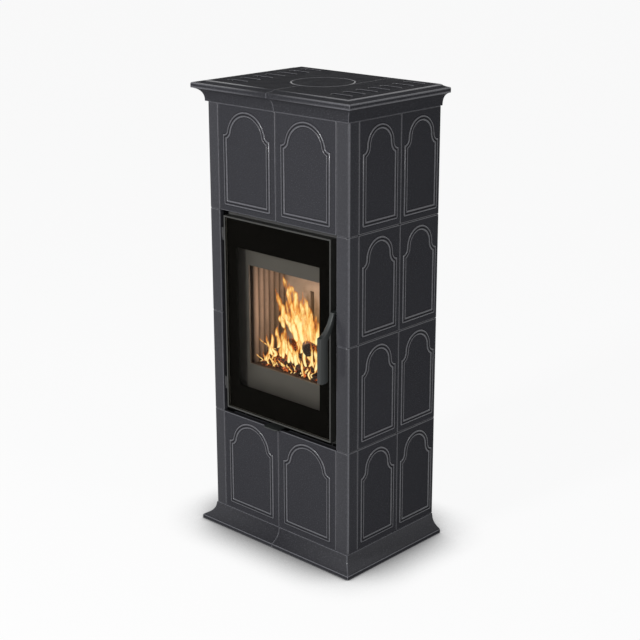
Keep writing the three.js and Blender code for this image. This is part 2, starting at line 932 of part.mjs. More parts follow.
// Seal of braided rope, between the leaf's back and the front plate.
function sealSection() {
  const y = (leafRear + frontPlateY) / 2;
  const sides = 8;
  const points = [];
  for (let i = 0; i < sides; i += 1) {
    const angle = (2 * Math.PI * (i + 0.5)) / sides;
    points.push([sealInset + sealRadius * Math.cos(angle), y + sealRadius * Math.sin(angle)]);
  }
  return points;
}

place(stove, 'door_seal', leafRing(sealSection()), rope);

// Hinge arms on the front plate, each with the pin that its knuckle turns on.
for (const [label, z] of [['lower', hingeHeights[0]], ['upper', hingeHeights[1]]]) {
  const top = z - seat;
  const arm = box(hingeX - hingeArm / 2, hingeX + hingeArm / 2, hingeDepth, frontPlateY - seat, top - hingeArm, top);
  const nose = turned([
    [0, top - hingeArm],
    [hingeArm / 2, top - hingeArm],
    [hingeArm / 2, top],
    [pinRadius, top],
    [pinRadius, top + knuckleHeight],
    [0, top + knuckleHeight],
  ], hingeX, hingeDepth, 16);
  place(stove, `hinge_arm_${label}`, join(arm, nose), blackSteel);
}

// ---------- Handle and latch ----------

const handleLeft = leafHalfWidth + 2 * seat;
const handleRight = handleLeft + handleWidth;

// Upright grip whose front face sweeps up and back as a horn, down to the pivot in the gap.
function handleShape() {
  const front = -handleReach;
  const back = gripDepth - handleReach;
  const tip = pivotDepth - pivotBoss;
  const shape = new THREE.Shape();
  shape.moveTo(back, gripBottom + 6);
  shape.quadraticCurveTo(back - 4, gripBottom, front + gripDepth / 2, gripBottom);
  shape.quadraticCurveTo(front + 2, gripBottom, front, gripBottom + 6);
  shape.lineTo(front, gripTop);
  shape.bezierCurveTo(front + 26, gripTop + 6, tip - 16, gripTop + 30, tip - 6, hornTop);
  shape.lineTo(pivotDepth - 2, pivotHeight + pivotBoss - 1);
  shape.lineTo(pivotDepth, pivotHeight - pivotBoss + 1);
  shape.lineTo(tip + 2, pivotHeight - 6);
  shape.bezierCurveTo(tip - 4, pivotHeight - 30, back + 12, gripTop + 6, back, gripTop - 14);
  return shape;
}

function doorHandle() {
  const lever = sideways(handleShape(), handleLeft, handleRight, 6);
  const boss = new THREE.Shape();
  boss.absarc(pivotDepth, pivotHeight, pivotBoss, 0, 2 * Math.PI, false);
  const latch = polygon([
    [pivotDepth, pivotHeight - 4],
    [latchReach - 3, pivotHeight - 1],
    [latchReach, pivotHeight + 3],
    [latchReach, pivotHeight + pivotBoss - seat],
    [pivotDepth, pivotHeight + pivotBoss - seat],
  ]);
  const bore = new THREE.Shape();
  bore.absarc(pivotDepth, pivotHeight, pivotRadius + seat, 0, 2 * Math.PI, false);
  const solid = join(lever, sideways(boss, handleLeft, handleRight, 9), sideways(latch, handleLeft, handleRight));
  return cut(solid, sideways(bore, handleLeft - 10, handleRight + 10, 6));
}

place(stove, 'door_handle', doorHandle(), castIron);

const pivot = new THREE.Shape();
pivot.absarc(pivotDepth, pivotHeight, pivotRadius, 0, 2 * Math.PI, false);
place(stove, 'handle_pivot', weld(sideways(pivot, leafHalfWidth + seat, handleRight + 1, 6)), rawSteel);

// The strike that the latch wedges against from below.
const strikeBottom = pivotHeight + pivotBoss + seat;
place(stove, 'latch_strike', weld(sideways(polygon([
  [frontPlateY - seat, strikeBottom],
  [frontPlateY - seat, strikeBottom + strikeHeight],
  [frontPlateY - 8, strikeBottom + strikeHeight],
  [frontPlateY - 16, strikeBottom + 4],
  [frontPlateY - 16, strikeBottom],
]), handleLeft, handleRight)), blackSteel);

// ---------- Origin: on the floor, under the middle of the whole stove ----------

const model = new THREE.Group();
stove.position.set(0, (handleReach - stoveRear) / 2, 0);
model.add(stove);

export default model;
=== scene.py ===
import math

import bmesh
import bpy
import numpy as np
from mathutils import Matrix, Vector
from mathutils.geometry import tessellate_polygon


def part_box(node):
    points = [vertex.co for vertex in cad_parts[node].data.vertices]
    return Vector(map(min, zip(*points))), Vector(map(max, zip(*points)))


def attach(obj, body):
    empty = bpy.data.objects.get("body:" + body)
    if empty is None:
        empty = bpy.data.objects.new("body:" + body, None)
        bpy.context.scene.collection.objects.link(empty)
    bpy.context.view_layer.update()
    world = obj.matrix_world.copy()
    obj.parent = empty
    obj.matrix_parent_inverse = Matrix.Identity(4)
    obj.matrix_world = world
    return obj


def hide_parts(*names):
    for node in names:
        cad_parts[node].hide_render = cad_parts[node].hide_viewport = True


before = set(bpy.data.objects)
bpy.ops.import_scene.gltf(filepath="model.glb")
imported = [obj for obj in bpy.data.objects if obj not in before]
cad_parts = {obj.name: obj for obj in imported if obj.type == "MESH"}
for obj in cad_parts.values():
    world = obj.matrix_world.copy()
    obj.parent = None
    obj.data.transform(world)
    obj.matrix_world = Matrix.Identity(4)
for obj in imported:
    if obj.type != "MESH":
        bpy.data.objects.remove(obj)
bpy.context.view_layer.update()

# ---------- Camera ----------
# The stove is seen from its front right corner, from above its top, with a long lens, so that the
# front and the right side show at nearly the same slant and the upright edges stay almost upright.

scene = bpy.context.scene
camera_data = bpy.data.cameras.new("front_right_camera")
camera_data.lens = 80.16
camera_data.sensor_width = 36.0
camera_data.shift_y = -0.045
camera = bpy.data.objects.new("front_right_camera", camera_data)
scene.collection.objects.link(camera)
scene.camera = camera

# Compass angle of the sight line from the wall's direction, slope below level, and lean, in degrees.
CAMERA_PLACE = Vector((2.899, -3.099, 2.054))
CAMERA_YAW, CAMERA_PITCH, CAMERA_ROLL = -43.15, 16.56, -0.13
yaw, pitch = math.radians(CAMERA_YAW), math.radians(CAMERA_PITCH)
sight = Vector((math.sin(yaw) * math.cos(pitch), math.cos(yaw) * math.cos(pitch), -math.sin(pitch)))
camera.location = CAMERA_PLACE
camera.rotation_euler = (
    sight.to_track_quat("-Z", "Y").to_matrix() @ Matrix.Rotation(math.radians(CAMERA_ROLL), 3, "Z")
).to_euler()

scene.view_settings.view_transform = "Standard"

# ---------- Studio: soft lamps, white surroundings, pale floor ----------
# A photo studio's soft boxes: a weak one beside the camera, a main one high in front and a small one
# high at the right. Walls and floor are white paper.


def rectangle(x0, x1, z0, z1):
    return [(x0, z0), (x1, z0), (x1, z1), (x0, z1)]


def linear(code):
    """A colour written as sRGB hex, as the linear colour with alpha that a socket takes."""
    parts = [int(code[i:i + 2], 16) / 255 for i in (1, 3, 5)]
    return (*[c / 12.92 if c <= 0.04045 else ((c + 0.055) / 1.055) ** 2.4 for c in parts], 1.0)


def add(tree, kind, inputs=(), **settings):
    """Adds a node. Its inputs take a value, a colour in hex, a socket, or a node for its first socket."""
    made = tree.nodes.new(kind)
    for name, value in settings.items():
        setattr(made, name, value)
    for name, value in dict(inputs).items():
        if isinstance(value, bpy.types.Node):
            value = value.outputs[0]
        if isinstance(value, bpy.types.NodeSocket):
            tree.links.new(value, made.inputs[name])
        else:
            made.inputs[name].default_value = linear(value) if str(value).startswith("#") else value
    return made


def maths(tree, operation, *values):
    return add(tree, "ShaderNodeMath", enumerate(values), operation=operation)


def in_view(tree):
    """1 for what the camera sees, by itself, mirrored or through glass; 0 for light on the stove."""
    paths = add(tree, "ShaderNodeLightPath").outputs
    shown = maths(tree, "MAXIMUM", paths["Is Camera Ray"], paths["Is Glossy Ray"])
    return maths(tree, "MAXIMUM", shown, paths["Is Transmission Ray"])


def softbox(name, place, aim_height, width, height, watts):
    """A large rectangular lamp that shines towards the middle of the stove at a height."""
    light = bpy.data.lights.new(name, "AREA")
    light.shape, light.size, light.size_y, light.energy = "RECTANGLE", width, height, watts
    lamp = bpy.data.objects.new(name, light)
    lamp.location = place
    lamp.rotation_euler = (Vector((0, 0, aim_height)) - Vector(place)).to_track_quat("-Z", "Y").to_euler()
    scene.collection.objects.link(lamp)


softbox("softbox_by_camera", (2.7, -3.0, 1.2), 0.75, 1.2, 2.0, 22)
softbox("softbox_front", (-0.3, -4.0, 2.4), 0.8, 0.55, 0.9, 112)
softbox("softbox_right", (4.0, 0.1, 2.4), 0.8, 0.4, 0.8, 24)

# How strongly the walls light the stove, and how much of the floor's white is its own.
WALL_LIGHT, FLOOR_WHITE = 0.25, 0.93
world = bpy.data.worlds.new("white_studio")
world.use_nodes = True
scene.world = world
tree = world.node_tree
tree.nodes.clear()
add(tree, "ShaderNodeOutputWorld", {"Surface": add(tree, "ShaderNodeMixShader", {
    0: in_view(tree),
    1: add(tree, "ShaderNodeBackground", {"Color": "#dfe3ea", "Strength": WALL_LIGHT}),
    2: add(tree, "ShaderNodeBackground", {"Color": "#ffffff", "Strength": 1.0}),
})})


def new_finish(name):
    """An empty material and its node tree."""
    finish = bpy.data.materials.new(name)
    finish.use_nodes = True
    finish.node_tree.nodes.clear()
    return finish, finish.node_tree


def surface(tree, inputs, kind="ShaderNodeBsdfPrincipled"):
    """Ends a material with its shader."""
    add(tree, "ShaderNodeOutputMaterial", {"Surface": add(tree, kind, inputs)})


def ramp(tree, value, low, high, start=0.0, end=1.0):
    """Start to end as the value goes from low to high."""
    return add(tree, "ShaderNodeMapRange", enumerate((value, low, high, start, end)))


def mix(tree, share, first, second):
    return add(tree, "ShaderNodeMixRGB", enumerate((share, first, second)))


paper, tree = new_finish("white_paper_floor")
# The shadow under and close around what stands on it, about a hand wide.
shade = add(tree, "ShaderNodeAmbientOcclusion", {"Distance": 0.2}, samples=16).outputs["AO"]
surface(tree, {
    0: maths(tree, "MULTIPLY", in_view(tree), FLOOR_WHITE),
    1: add(tree, "ShaderNodeBsdfDiffuse", {"Color": "#f2f2f2", "Roughness": 0.4}),
    2: add(tree, "ShaderNodeEmission", {
        "Color": mix(tree, ramp(tree, shade, 0.52, 0.97), "#2a2a2c", "#ffffff"),
        "Strength": 1.0,
    }),
}, "ShaderNodeMixShader")

FAR_OUT = 30
floor_mesh = bpy.data.meshes.new("studio_floor")
corners = [(x, y, 0) for x, y in rectangle(-FAR_OUT, FAR_OUT, -FAR_OUT, FAR_OUT)]
floor_mesh.from_pydata(corners, [], [(0, 1, 2, 3)])
floor_mesh.materials.append(paper)
floor = bpy.data.objects.new("studio_floor", floor_mesh)
scene.collection.objects.link(floor)

# ---------- Plinth ----------
# The lowest course: two pieces of cast ceramic, glazed dark grey, that run round three sides and
# meet in a thin seam at the middle of the front. The stove's tiles stand on it.

# Pieces are measured in millimetres from the middle of the front: x to the right, y from the tile
# face towards the wall, z up from the floor. The frame has the tile face further forward.
FACE_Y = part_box("corner_tile_left_1")[0].y
HALF_WIDTH = 288.0
DEPTH = 411.0
JOINT = 0.6
PLINTH_HEIGHT = 58.0
SIDES = ("left", -1), ("right", 1)


def place(tree):
    """Where a point lies on its own piece, in metres."""
    known = tree.nodes.get("place") or add(tree, "ShaderNodeTexCoord", name="place")
    return known.outputs["Object"]


def noise(tree, scale, detail=2.0, rough=0.5):
    return add(tree, "ShaderNodeTexNoise", {
        "Vector": place(tree), "Scale": scale, "Detail": detail, "Roughness": rough,
    })


def bump(tree, height, strength, depth, **under):
    """Raises the surface by a height, down to a depth in metres."""
    return add(tree, "ShaderNodeBump", {"Strength": strength, "Distance": depth, "Height": height, **under})


def mark(tree, name):
    """A number that the points or the tiles of a piece keep."""
    return add(tree, "ShaderNodeAttribute", attribute_name=name).outputs["Fac"]


# Dark satin glaze over fired clay: nearly black grey with fine pale specks. Where marked up to 1 it is
# thin and pale over ridges and edges, and this also paints highlights there; where marked down to -1 it
# is pooled and darker beside them, and this also paints shade at bead feet, beside joints and on the top.
glaze, tree = new_finish("dark_satin_glaze")
clouds = noise(tree, 18.0, 3.0, 0.55)
glaze_light_mark = mark(tree, "thin_glaze")
fired = maths(tree, "MULTIPLY", maths(tree, "ADD", clouds, mark(tree, "tile_tone")), 0.6)
# Specks of about 1 mm, drawn 3 mm wide so that they show.
specks = ramp(tree, noise(tree, 330.0, 2.0, 0.7), 0.54, 0.72, 0.0, 0.6)
speckled = mix(tree, specks, mix(tree, fired, "#313134", "#39393d"), "#5e5e64")
# Painted shade: below 0 the mark darkens the colour, as pooled glaze and as shade.
pooled_glaze_and_painted_shade = mix(tree, ramp(tree, glaze_light_mark, -1.0, 0.0, 0.75, 0.0), speckled, "#0c0c0d")
# Painted highlight: above 0 the mark pales the colour, as thin glaze and as highlight, patchy with wear.
thin_glaze_and_painted_highlight = maths(tree, "MULTIPLY", glaze_light_mark, ramp(tree, noise(tree, 160.0), 0.3, 0.7, 0.55, 1.0))
# It dries matt on the flats and runs smooth and shiny over the ridges.
ripples = bump(tree, noise(tree, 30.0), 0.35, 0.002)
surface(tree, {
    "Base Color": mix(tree, maths(tree, "MAXIMUM", thin_glaze_and_painted_highlight, 0.0), pooled_glaze_and_painted_shade, "#68686e"),
    "Roughness": ramp(tree, clouds, 0.3, 0.7, 0.8, 0.92),
    "Specular IOR Level": 0.06,
    "Coat Weight": ramp(tree, glaze_light_mark, 0.0, 0.3),
    "Coat Roughness": 0.2,
    "Coat IOR": 1.46,
    "Normal": bump(tree, noise(tree, 420.0, 3.0), 0.25, 0.0004, Normal=ripples),
    "Coat Normal": ripples,
})


class Form:
    """A surface put together in stove millimetres. Each point keeps a mark, such as thin glaze with painted
    light.
    """

    def __init__(self):
        self.points, self.faces, self.marks = [], [], []

    def ring(self, points, mark=0.0):
        first = len(self.points)
        self.points += [tuple(p) for p in points]
        self.marks += [mark] * len(points)
        return list(range(first, len(self.points)))

    def skin(self, lower, upper, closed=True):
        for i in range(len(lower) if closed else len(lower) - 1):
            j = (i + 1) % len(lower)
            self.faces.append((lower[i], lower[j], upper[j], upper[i]))

    def skins(self, rings, closed=True):
        for lower, upper in zip(rings, rings[1:]):
            self.skin(lower, upper, closed)

    def fill(self, *loops):
        """A flat face inside the first loop, with the other loops left open."""
        order = [i for loop in loops for i in loop]
        flat = [[Vector(self.points[i]) for i in loop] for loop in loops]
        self.faces += [tuple(order[k] for k in corners) for corners in tessellate_polygon(flat)]

    def shut(self, rings):
        """The skins of the rings, with a flat face at each end."""
        self.skins(rings)
        self.fill(rings[0])
        self.fill(rings[-1])

    def sheet(self, depths, outline, hole):
        """A flat sheet between two depths, with a hole. Both outlines are lists of x and z."""
        rims = []
        for depth in depths:
            rims.append([self.ring([(x, depth, z) for x, z in loop]) for loop in (outline, hole)])
            self.fill(*rims[-1])
        self.skin(rims[0][0], rims[1][0])
        self.skin(rims[0][1], rims[1][1])

    def piece(self, name, finish, crease=40.0, mark="thin_glaze"):
        """The object, in metres of the frame, smooth but for creases sharper than the given angle."""
        points = [(x / 1000, y / 1000 + FACE_Y, z / 1000) for x, y, z in self.points]
        mesh = bpy.data.meshes.new(name)
        mesh.from_pydata(points, [], self.faces)
        mesh.attributes.new(mark, "FLOAT", "POINT").data.foreach_set("value", self.marks)
        mesh.materials.append(finish)
        rough = bmesh.new()
        rough.from_mesh(mesh)
        bmesh.ops.remove_doubles(rough, verts=rough.verts, dist=1e-6)
        bmesh.ops.recalc_face_normals(rough, faces=rough.faces)
        rough.to_mesh(mesh)
        rough.free()
        mesh.shade_smooth()
        mesh.set_sharp_from_angle(angle=math.radians(crease))
        made = bpy.data.objects.new(name, mesh)
        scene.collection.objects.link(made)
        return made


def settle(piece):
    """Turns a piece with modifiers into the plain mesh that they make."""
    bpy.context.view_layer.update()
    graph = bpy.context.evaluated_depsgraph_get()
    shaped = piece.evaluated_get(graph)
    plain = bpy.data.meshes.new_from_object(shaped, preserve_all_data_layers=True, depsgraph=graph)
    piece.modifiers.clear()
    spare, piece.data = piece.data, plain
    plain.name = piece.name
    bpy.data.meshes.remove(spare)


def carve(piece, *tools):
    """Cuts the tools out of a piece."""
    for tool in tools:
        cutter = piece.modifiers.new("cut", "BOOLEAN")
        cutter.operation, cutter.solver, cutter.object = "DIFFERENCE", "EXACT", tool
    settle(piece)
    for tool in tools:
        bpy.data.objects.remove(tool)


def soften(piece, width, angle=40.0):
    """Rounds the sharp edges of a piece, in millimetres, and marks the rounded strips 1: pale thin glaze with a
    painted highlight.
    """
    if len(piece.data.materials) == 1:
        piece.data.materials.append(piece.data.materials[0])
    rounding = piece.modifiers.new("round", "BEVEL")
    rounding.width, rounding.segments = width / 1000, 3
    rounding.limit_method, rounding.angle_limit = "ANGLE", math.radians(angle)
    rounding.harden_normals = True
    rounding.use_clamp_overlap = False
    rounding.material = 1
    settle(piece)
    mesh = piece.data
    on_points = mesh.attributes["thin_glaze"]
    known = [point.value for point in on_points.data]
    corners = []
    for polygon in mesh.polygons:
        corners += [1.0 if polygon.material_index else known[point] for point in polygon.vertices]
    mesh.attributes.remove(on_points)
    mesh.attributes.new("thin_glaze", "FLOAT", "CORNER").data.foreach_set("value", corners)
    mesh.polygons.foreach_set("material_index", [0] * len(mesh.polygons))
    mesh.materials.pop(index=1)


def block(name, x0, x1, y0, y1, z0, z1, finish):
    """A plain block, as a tool or to be rounded."""
    form = Form()
    form.shut([form.ring([(x, y, z) for x, y in rectangle(x0, x1, y0, y1)]) for z in (z0, z1)])
    return form.piece(name, finish)


def curve_through(points, steps):
    """A smooth line through the points, with so many steps in each span."""
    line = []
    padded = [points[0], *points, points[-1]]
    for a, b, c, d in zip(padded, padded[1:], padded[2:], padded[3:]):
        for k in range(steps):
            t = k / steps
            line.append(tuple(0.5 * (
                2 * q + (r - p) * t + (2 * p - 5 * q + 4 * r - s) * t * t + (3 * q - p - 3 * r + s) * t ** 3
            ) for p, q, r, s in zip(a, b, c, d)))
    line.append(tuple(points[-1]))
    return line


def course(name, levels):
    """A moulded course round three sides, flush behind. Each level is overhang, height and mark."""
    form = Form()
    rings = []
    for overhang, height, mark in levels:
        half = HALF_WIDTH + overhang
        rings.append(form.ring([(x, y, height) for x, y in rectangle(-half, half, -overhang, DEPTH)], mark))
    form.shut(rings)
    return form.piece(name, glaze, 30.0)


# Overhang and drop below the tiles: fascia, step, cove and the bead under the tiles.
plinth_cove = curve_through([(27.6, 43), (20.5, 39), (11, 31), (3.8, 20), (1, 7.4), (0, 2)], 4)
plinth_levels = [(33.6, 0.0, 0.0), (33.6, 11.2, 0.0)]
plinth_levels += [(overhang, PLINTH_HEIGHT - drop, 0.1) for overhang, drop in plinth_cove]
plinth_levels += [(-1.0, PLINTH_HEIGHT - JOINT / 2, 0.0)]
WALL = 20.0
INNER, FAR = HALF_WIDTH - WALL, 2 * HALF_WIDTH
for side, sign in SIDES:
    plinth = course("plinth_course_" + side, plinth_levels)
    other_half = sorted((-sign * FAR, sign * JOINT / 2))
    carve(
        plinth,
        block("hollow", -INNER, INNER, WALL, 2 * DEPTH, -WALL, 2 * PLINTH_HEIGHT, glaze),
        block("other_half", *other_half, -DEPTH, 2 * DEPTH, -WALL, 2 * PLINTH_HEIGHT, glaze),
    )
    soften(plinth, 1.6)
    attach(plinth, "stove_body")
    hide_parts("plinth_" + side)

# ---------- Tiles ----------
# Cast ceramic tiles with an arched panel framed by two round beads. Each has a hollow foot at its
# back, is set on the one below with a hair joint, and was glazed before firing.

ROW_PITCH = 330.0
ROWS = 4
PLATE = 12.0
TILE_DEPTH = 40.0
FRONT_PITCH = 242.0
SIDE_PITCH = 182.5
CORNER_LEG = 46.0
FRONT_ARCH = dict(half=98.5, bottom=20, foot=6, shoulder=237, notch=250, radius=82.3, centre=232)
SIDE_ARCH = dict(half=77.5, bottom=20, foot=6, shoulder=233, notch=253, radius=59, centre=253)

# Section across the double bead: distance in from the outline, height and mark. The mark is pale on the
# crests, thin glaze with a painted highlight, and dark at the feet, pooled glaze with painted shade.
BEADS = [
    (-2.4, 0.0, 0.0), (-1.4, 0.0, -0.6), (-0.4, 0.06, -0.8), (0.1, 0.4, 0.1), (0.7, 1.15, 0.5),
    (1.4, 1.85, 0.9), (2.3, 2.3, 1.0), (3.3, 2.4, 0.7), (4.3, 2.3, 0.3), (5.3, 1.95, 0.1),
    (6.2, 1.4, -0.3), (7.1, 0.8, -0.7), (8.0, 0.55, -0.8),
]
BEADS += [(16.0 - inset, height, mark) for inset, height, mark in reversed(BEADS[:-1])]


def arc(x, z, radius, angles):
    return [(x + radius * math.cos(t), z + radius * math.sin(t)) for t in angles]


def circle(x, z, radius, steps):
    return arc(x, z, radius, np.linspace(0, 2 * math.pi, steps, endpoint=False))


def rounded(x0, x1, z0, z1, radius, steps):
    """A rectangle with round corners of so many steps, from the low edge's right end."""
    a, b, c, d = rectangle(x0 + radius, x1 - radius, z0 + radius, z1 - radius)
    loop = []
    for number, (x, z) in enumerate((b, c, d, a)):
        loop += arc(x, z, radius, math.pi / 2 * (number - 1 + np.linspace(0, 1, steps + 1)))
    return loop


def arch_outline(arch, inset):
    """The arched panel's outline drawn in by inset: x from the tile's middle, z from its foot."""
    side, floor_line = arch["half"] - inset, arch["bottom"] + inset
    foot = max(arch["foot"] - inset, 0.5)
    right = arc(side - foot, floor_line + foot, foot, np.linspace(-math.pi / 2, 0, 6))
    rise = arch["notch"] - arch["centre"]
    reach = arch["half"] - math.sqrt(arch["radius"] ** 2 - rise ** 2) + inset
    drop = arch["notch"] - arch["shoulder"] + inset
    start = math.asin(max(-1.0, min(inset / reach, 1.0)))
    for turn in np.linspace(start, math.pi / 2, 7, endpoint=False):
        right.append((arch["half"] - reach * math.sin(turn), arch["notch"] - drop * math.cos(turn)))
    radius = arch["radius"] - inset
    spring = math.asin(rise / radius)
    right += arc(0.0, arch["centre"], radius, np.linspace(spring, math.pi / 2, 16, endpoint=False))
    return right + [(0.0, arch["centre"] + radius)] + [(-x, z) for x, z in reversed(right)]


def arched_tile(pitch, arch, foot_z, put):
    """One flat tile. put turns its own across, inward and up millimetres into the stove's."""
    form = Form()
    half, low, high = (pitch - JOINT) / 2, foot_z + JOINT / 2, foot_z + ROW_PITCH - JOINT / 2

    def rim(inset, depth, mark=0.0):
        loop = rounded(inset - half, half - inset, low + inset, high - inset, 1.6, 3)
        return form.ring([put(x, depth, z) for x, z in loop], mark)

    edge = 3.4
    # Marks round the tile's rim: dark joint walls; on the rounded edge, painted shade beside the joint and a pale
    # crest of thin glaze with a painted highlight.
    rings = [rim(10, TILE_DEPTH), rim(10, PLATE), rim(0, PLATE, -1.0), rim(0, edge, -1.0)]
    for k, mark in enumerate((-0.6, 0.2, 1.0, 0.5, -0.3, 0.0), 1):
        turn = math.radians(15 * k)
        rings.append(rim(5 * (1 - math.cos(turn)), edge * (1 - math.sin(turn)), mark))
    rings.append(rim(5.8, 0))
    form.skins(rings)
    form.fill(rings[0])
    relief = [
        form.ring([put(x, -height, foot_z + z) for x, z in arch_outline(arch, inset)], mark)
        for inset, height, mark in BEADS
    ]
    form.skins(relief)
    form.fill(rings[-1], relief[0])
    form.fill(relief[-1])
    return form


def new_growth(name, result, inputs):
    """A Geometry Nodes tree with a Finish and the named inputs, and its input sockets."""
    tree = bpy.data.node_groups.new(name, "GeometryNodeTree")
    for title, kind in {**inputs, "Finish": "Material"}.items():
        tree.interface.new_socket(title, in_out="INPUT", socket_type="NodeSocket" + kind)
    tree.interface.new_socket(result, in_out="OUTPUT", socket_type="NodeSocketGeometry")
    return tree, add(tree, "NodeGroupInput").outputs


def end_growth(tree, shape, finish):
    """Ends a growth with its shape made real and given its finish."""
    real = add(tree, "GeometryNodeRealizeInstances", {"Geometry": shape})
    done = add(tree, "GeometryNodeSetMaterial", {"Geometry": real, "Material": finish})
    add(tree, "NodeGroupOutput", {0: done})


def grow(piece, tree, **values):
    """Runs a growth on a piece with its named inputs, and keeps the plain mesh."""
    growth = piece.modifiers.new(tree.name, "NODES")
    growth.node_group = tree
    keys = {item.name.replace(" ", "_").lower(): item.identifier for item in tree.interface.items_tree}
    for name, value in values.items():
        growth[keys[name]] = value
    settle(piece)


# Sets a tile in columns and rows, and gives each its own tone of glaze.
courses, given = new_growth("tile_courses", "Tiles", {
    "Tile": "Geometry", "Columns": "Int", "Column Step": "Vector", "Rows": "Int", "Row Step": "Vector",
    "Seed": "Int",
})
row = add(courses, "GeometryNodeMeshLine", {"Count": given["Rows"], "Offset": given["Row Step"]})
column = add(courses, "GeometryNodeMeshLine", {"Count": given["Columns"], "Offset": given["Column Step"]})
grid = add(courses, "GeometryNodeInstanceOnPoints", {"Points": column, "Instance": row})
spots = add(courses, "GeometryNodeRealizeInstances", {"Geometry": grid})
tiles = add(courses, "GeometryNodeInstanceOnPoints", {"Points": spots, "Instance": given["Tile"]})
tone = add(courses, "FunctionNodeRandomValue", {"Seed": given["Seed"]}, data_type="FLOAT")
toned = add(courses, "GeometryNodeStoreNamedAttribute", {
    "Geometry": tiles, "Name": "tile_tone", "Value": tone.outputs[1],
}, data_type="FLOAT", domain="INSTANCE")
end_growth(courses, toned, given["Finish"])


def lay(form, name, columns, column_step, rows, row_step, seed, nodes):
    """Lays a tile in courses and puts the result on the stove in place of the CAD tiles."""
    tiles = form.piece(name, glaze)
    grow(
        tiles, courses,
        columns=columns, column_step=[c / 1000 for c in column_step],
        rows=rows, row_step=(0, 0, row_step / 1000), seed=seed, finish=glaze,
    )
    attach(tiles, "stove_body")
    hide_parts(*nodes)


front_tile = arched_tile(FRONT_PITCH, FRONT_ARCH, PLINTH_HEIGHT, lambda u, v, w: (
    u - FRONT_PITCH / 2, v, w,
))
lay(front_tile, "front_tiles", 2, (FRONT_PITCH, 0, 0), 2, (ROWS - 1) * ROW_PITCH, 3, [
    f"front_tile_{side}_{row}" for side in ("left", "right") for row in (1, ROWS)
])
for side, sign in SIDES:
    side_tile = arched_tile(SIDE_PITCH, SIDE_ARCH, PLINTH_HEIGHT, lambda u, v, w: (
        sign * (HALF_WIDTH - v), CORNER_LEG + SIDE_PITCH / 2 + sign * u, w,
    ))
    lay(side_tile, "side_tiles_" + side, 2, (0, SIDE_PITCH, 0), ROWS, ROW_PITCH, 5 + sign, [
        f"side_tile_{side}_{place}_{row + 1}" for place in ("fore", "aft") for row in range(ROWS)
    ])


def drawn_in(loop, inset):
    """A closed plan outline moved inwards by inset, corner by corner."""
    moved = []
    area = sum(a[0] * b[1] - b[0] * a[1] for a, b in zip(loop, loop[1:] + loop[:1]))
    turn = 1 if area > 0 else -1
    for before, here, after in zip(loop[-1:] + loop[:-1], loop, loop[1:] + loop[:1]):
        a = Vector((here[0] - before[0], here[1] - before[1])).normalized()
        b = Vector((after[0] - here[0], after[1] - here[1])).normalized()
        normal = (Vector((-a.y, a.x)) + Vector((-b.y, b.x))).normalized() * turn
        share = inset / max(0.3, (Vector((-a.y, a.x)) * turn).dot(normal))
        moved.append((here[0] + normal.x * share, here[1] + normal.y * share))
    return moved


# Marks round a corner tile's plan: front leg, rounded edge, side leg. Dark at the joints and pale on the
# legs' rims, thin glaze with a painted highlight; a painted highlight peaking towards the side face on the
# rounded edge; and the front leg painted a little paler than the side leg.
CORNER_GLAZE_AND_PAINTED_LIGHT = [-0.6, 0.3, 0.9, 0.4, 0.09]
CORNER_GLAZE_AND_PAINTED_LIGHT += [0.09, 0.09, 0.1, 0.1, 0.12, 0.16, 0.3, 0.7, 1.0, 1.0, 0.4, 0.02]
CORNER_GLAZE_AND_PAINTED_LIGHT += [0.02, 0.3, 0.9, 0.3, -0.6]


def corner_form(sign):
    """A corner tile: two short legs that meet in a rounded upright edge."""
    leg, wall, radius, rim = CORNER_LEG - JOINT / 2, 16.0, 9.5, 2.6
    quarter = [math.radians(t) for t in (0, 22, 45, 68, 90)]
    plan = [(leg - 3.6 * (1 - math.cos(t)), rim * (1 - math.sin(t))) for t in quarter]
    edge = arc(radius, radius, radius, np.linspace(-math.pi / 2, -math.pi, 12))
    outline = plan + edge + [(y, x) for x, y in reversed(plan)] + [(wall, leg), (wall, wall), (leg, wall)]
    low, high = PLINTH_HEIGHT + JOINT / 2, PLINTH_HEIGHT + ROW_PITCH - JOINT / 2
    levels = [(rim * (1 - math.sin(t)), low + rim * (1 - math.cos(t))) for t in quarter]
    levels += [(0.0, low + 3.4)]
    levels += [(inset, low + high - z) for inset, z in reversed(levels)]
    form = Form()
    rings = []
    for inset, z in levels:
        rings.append(form.ring([(sign * (HALF_WIDTH - x), y, z) for x, y in drawn_in(outline, inset)]))
        # Pale rims at top and bottom: thin glaze with a painted highlight.
        least = 0.7 if 0 < inset < 2.5 else 0.0
        for k, mark in zip(rings[-1], CORNER_GLAZE_AND_PAINTED_LIGHT):
            form.marks[k] = max(mark, least)
    form.shut(rings)
    return form


for side, sign in SIDES:
    lay(corner_form(sign), "corner_tiles_" + side, 1, (0, 0, 0), ROWS, ROW_PITCH, 11 + sign, [
        f"corner_tile_{side}_{row + 1}" for row in range(ROWS)
    ])

# ---------- Base frame, feet and stand ----------
# A steel plate on four levelling feet, hidden inside the plinth, carries two upright sheets and on
# them the firebox. Laser-cut steel, sprayed with matt black heat-proof paint; the feet are zinc plated.

TILES_TOP = PLINTH_HEIGHT + ROWS * ROW_PITCH


def steel_finish(name, colour, worn, metallic, rough, grain_mm, depth_mm):
    """Steel with a fine-grained coat: patches of worn tone, and a grain of the given size."""
    finish, tree = new_finish(name)
    patches = noise(tree, 25.0, 5.0, 0.6)
    surface(tree, {
        "Base Color": mix(tree, patches, colour, worn),
        "Metallic": metallic,
        "Roughness": ramp(tree, patches, 0.3, 0.7, rough - 0.06, rough + 0.06),
        "Normal": bump(tree, noise(tree, 1000.0 / grain_mm), 0.4, depth_mm / 1000),
    })
    return finish


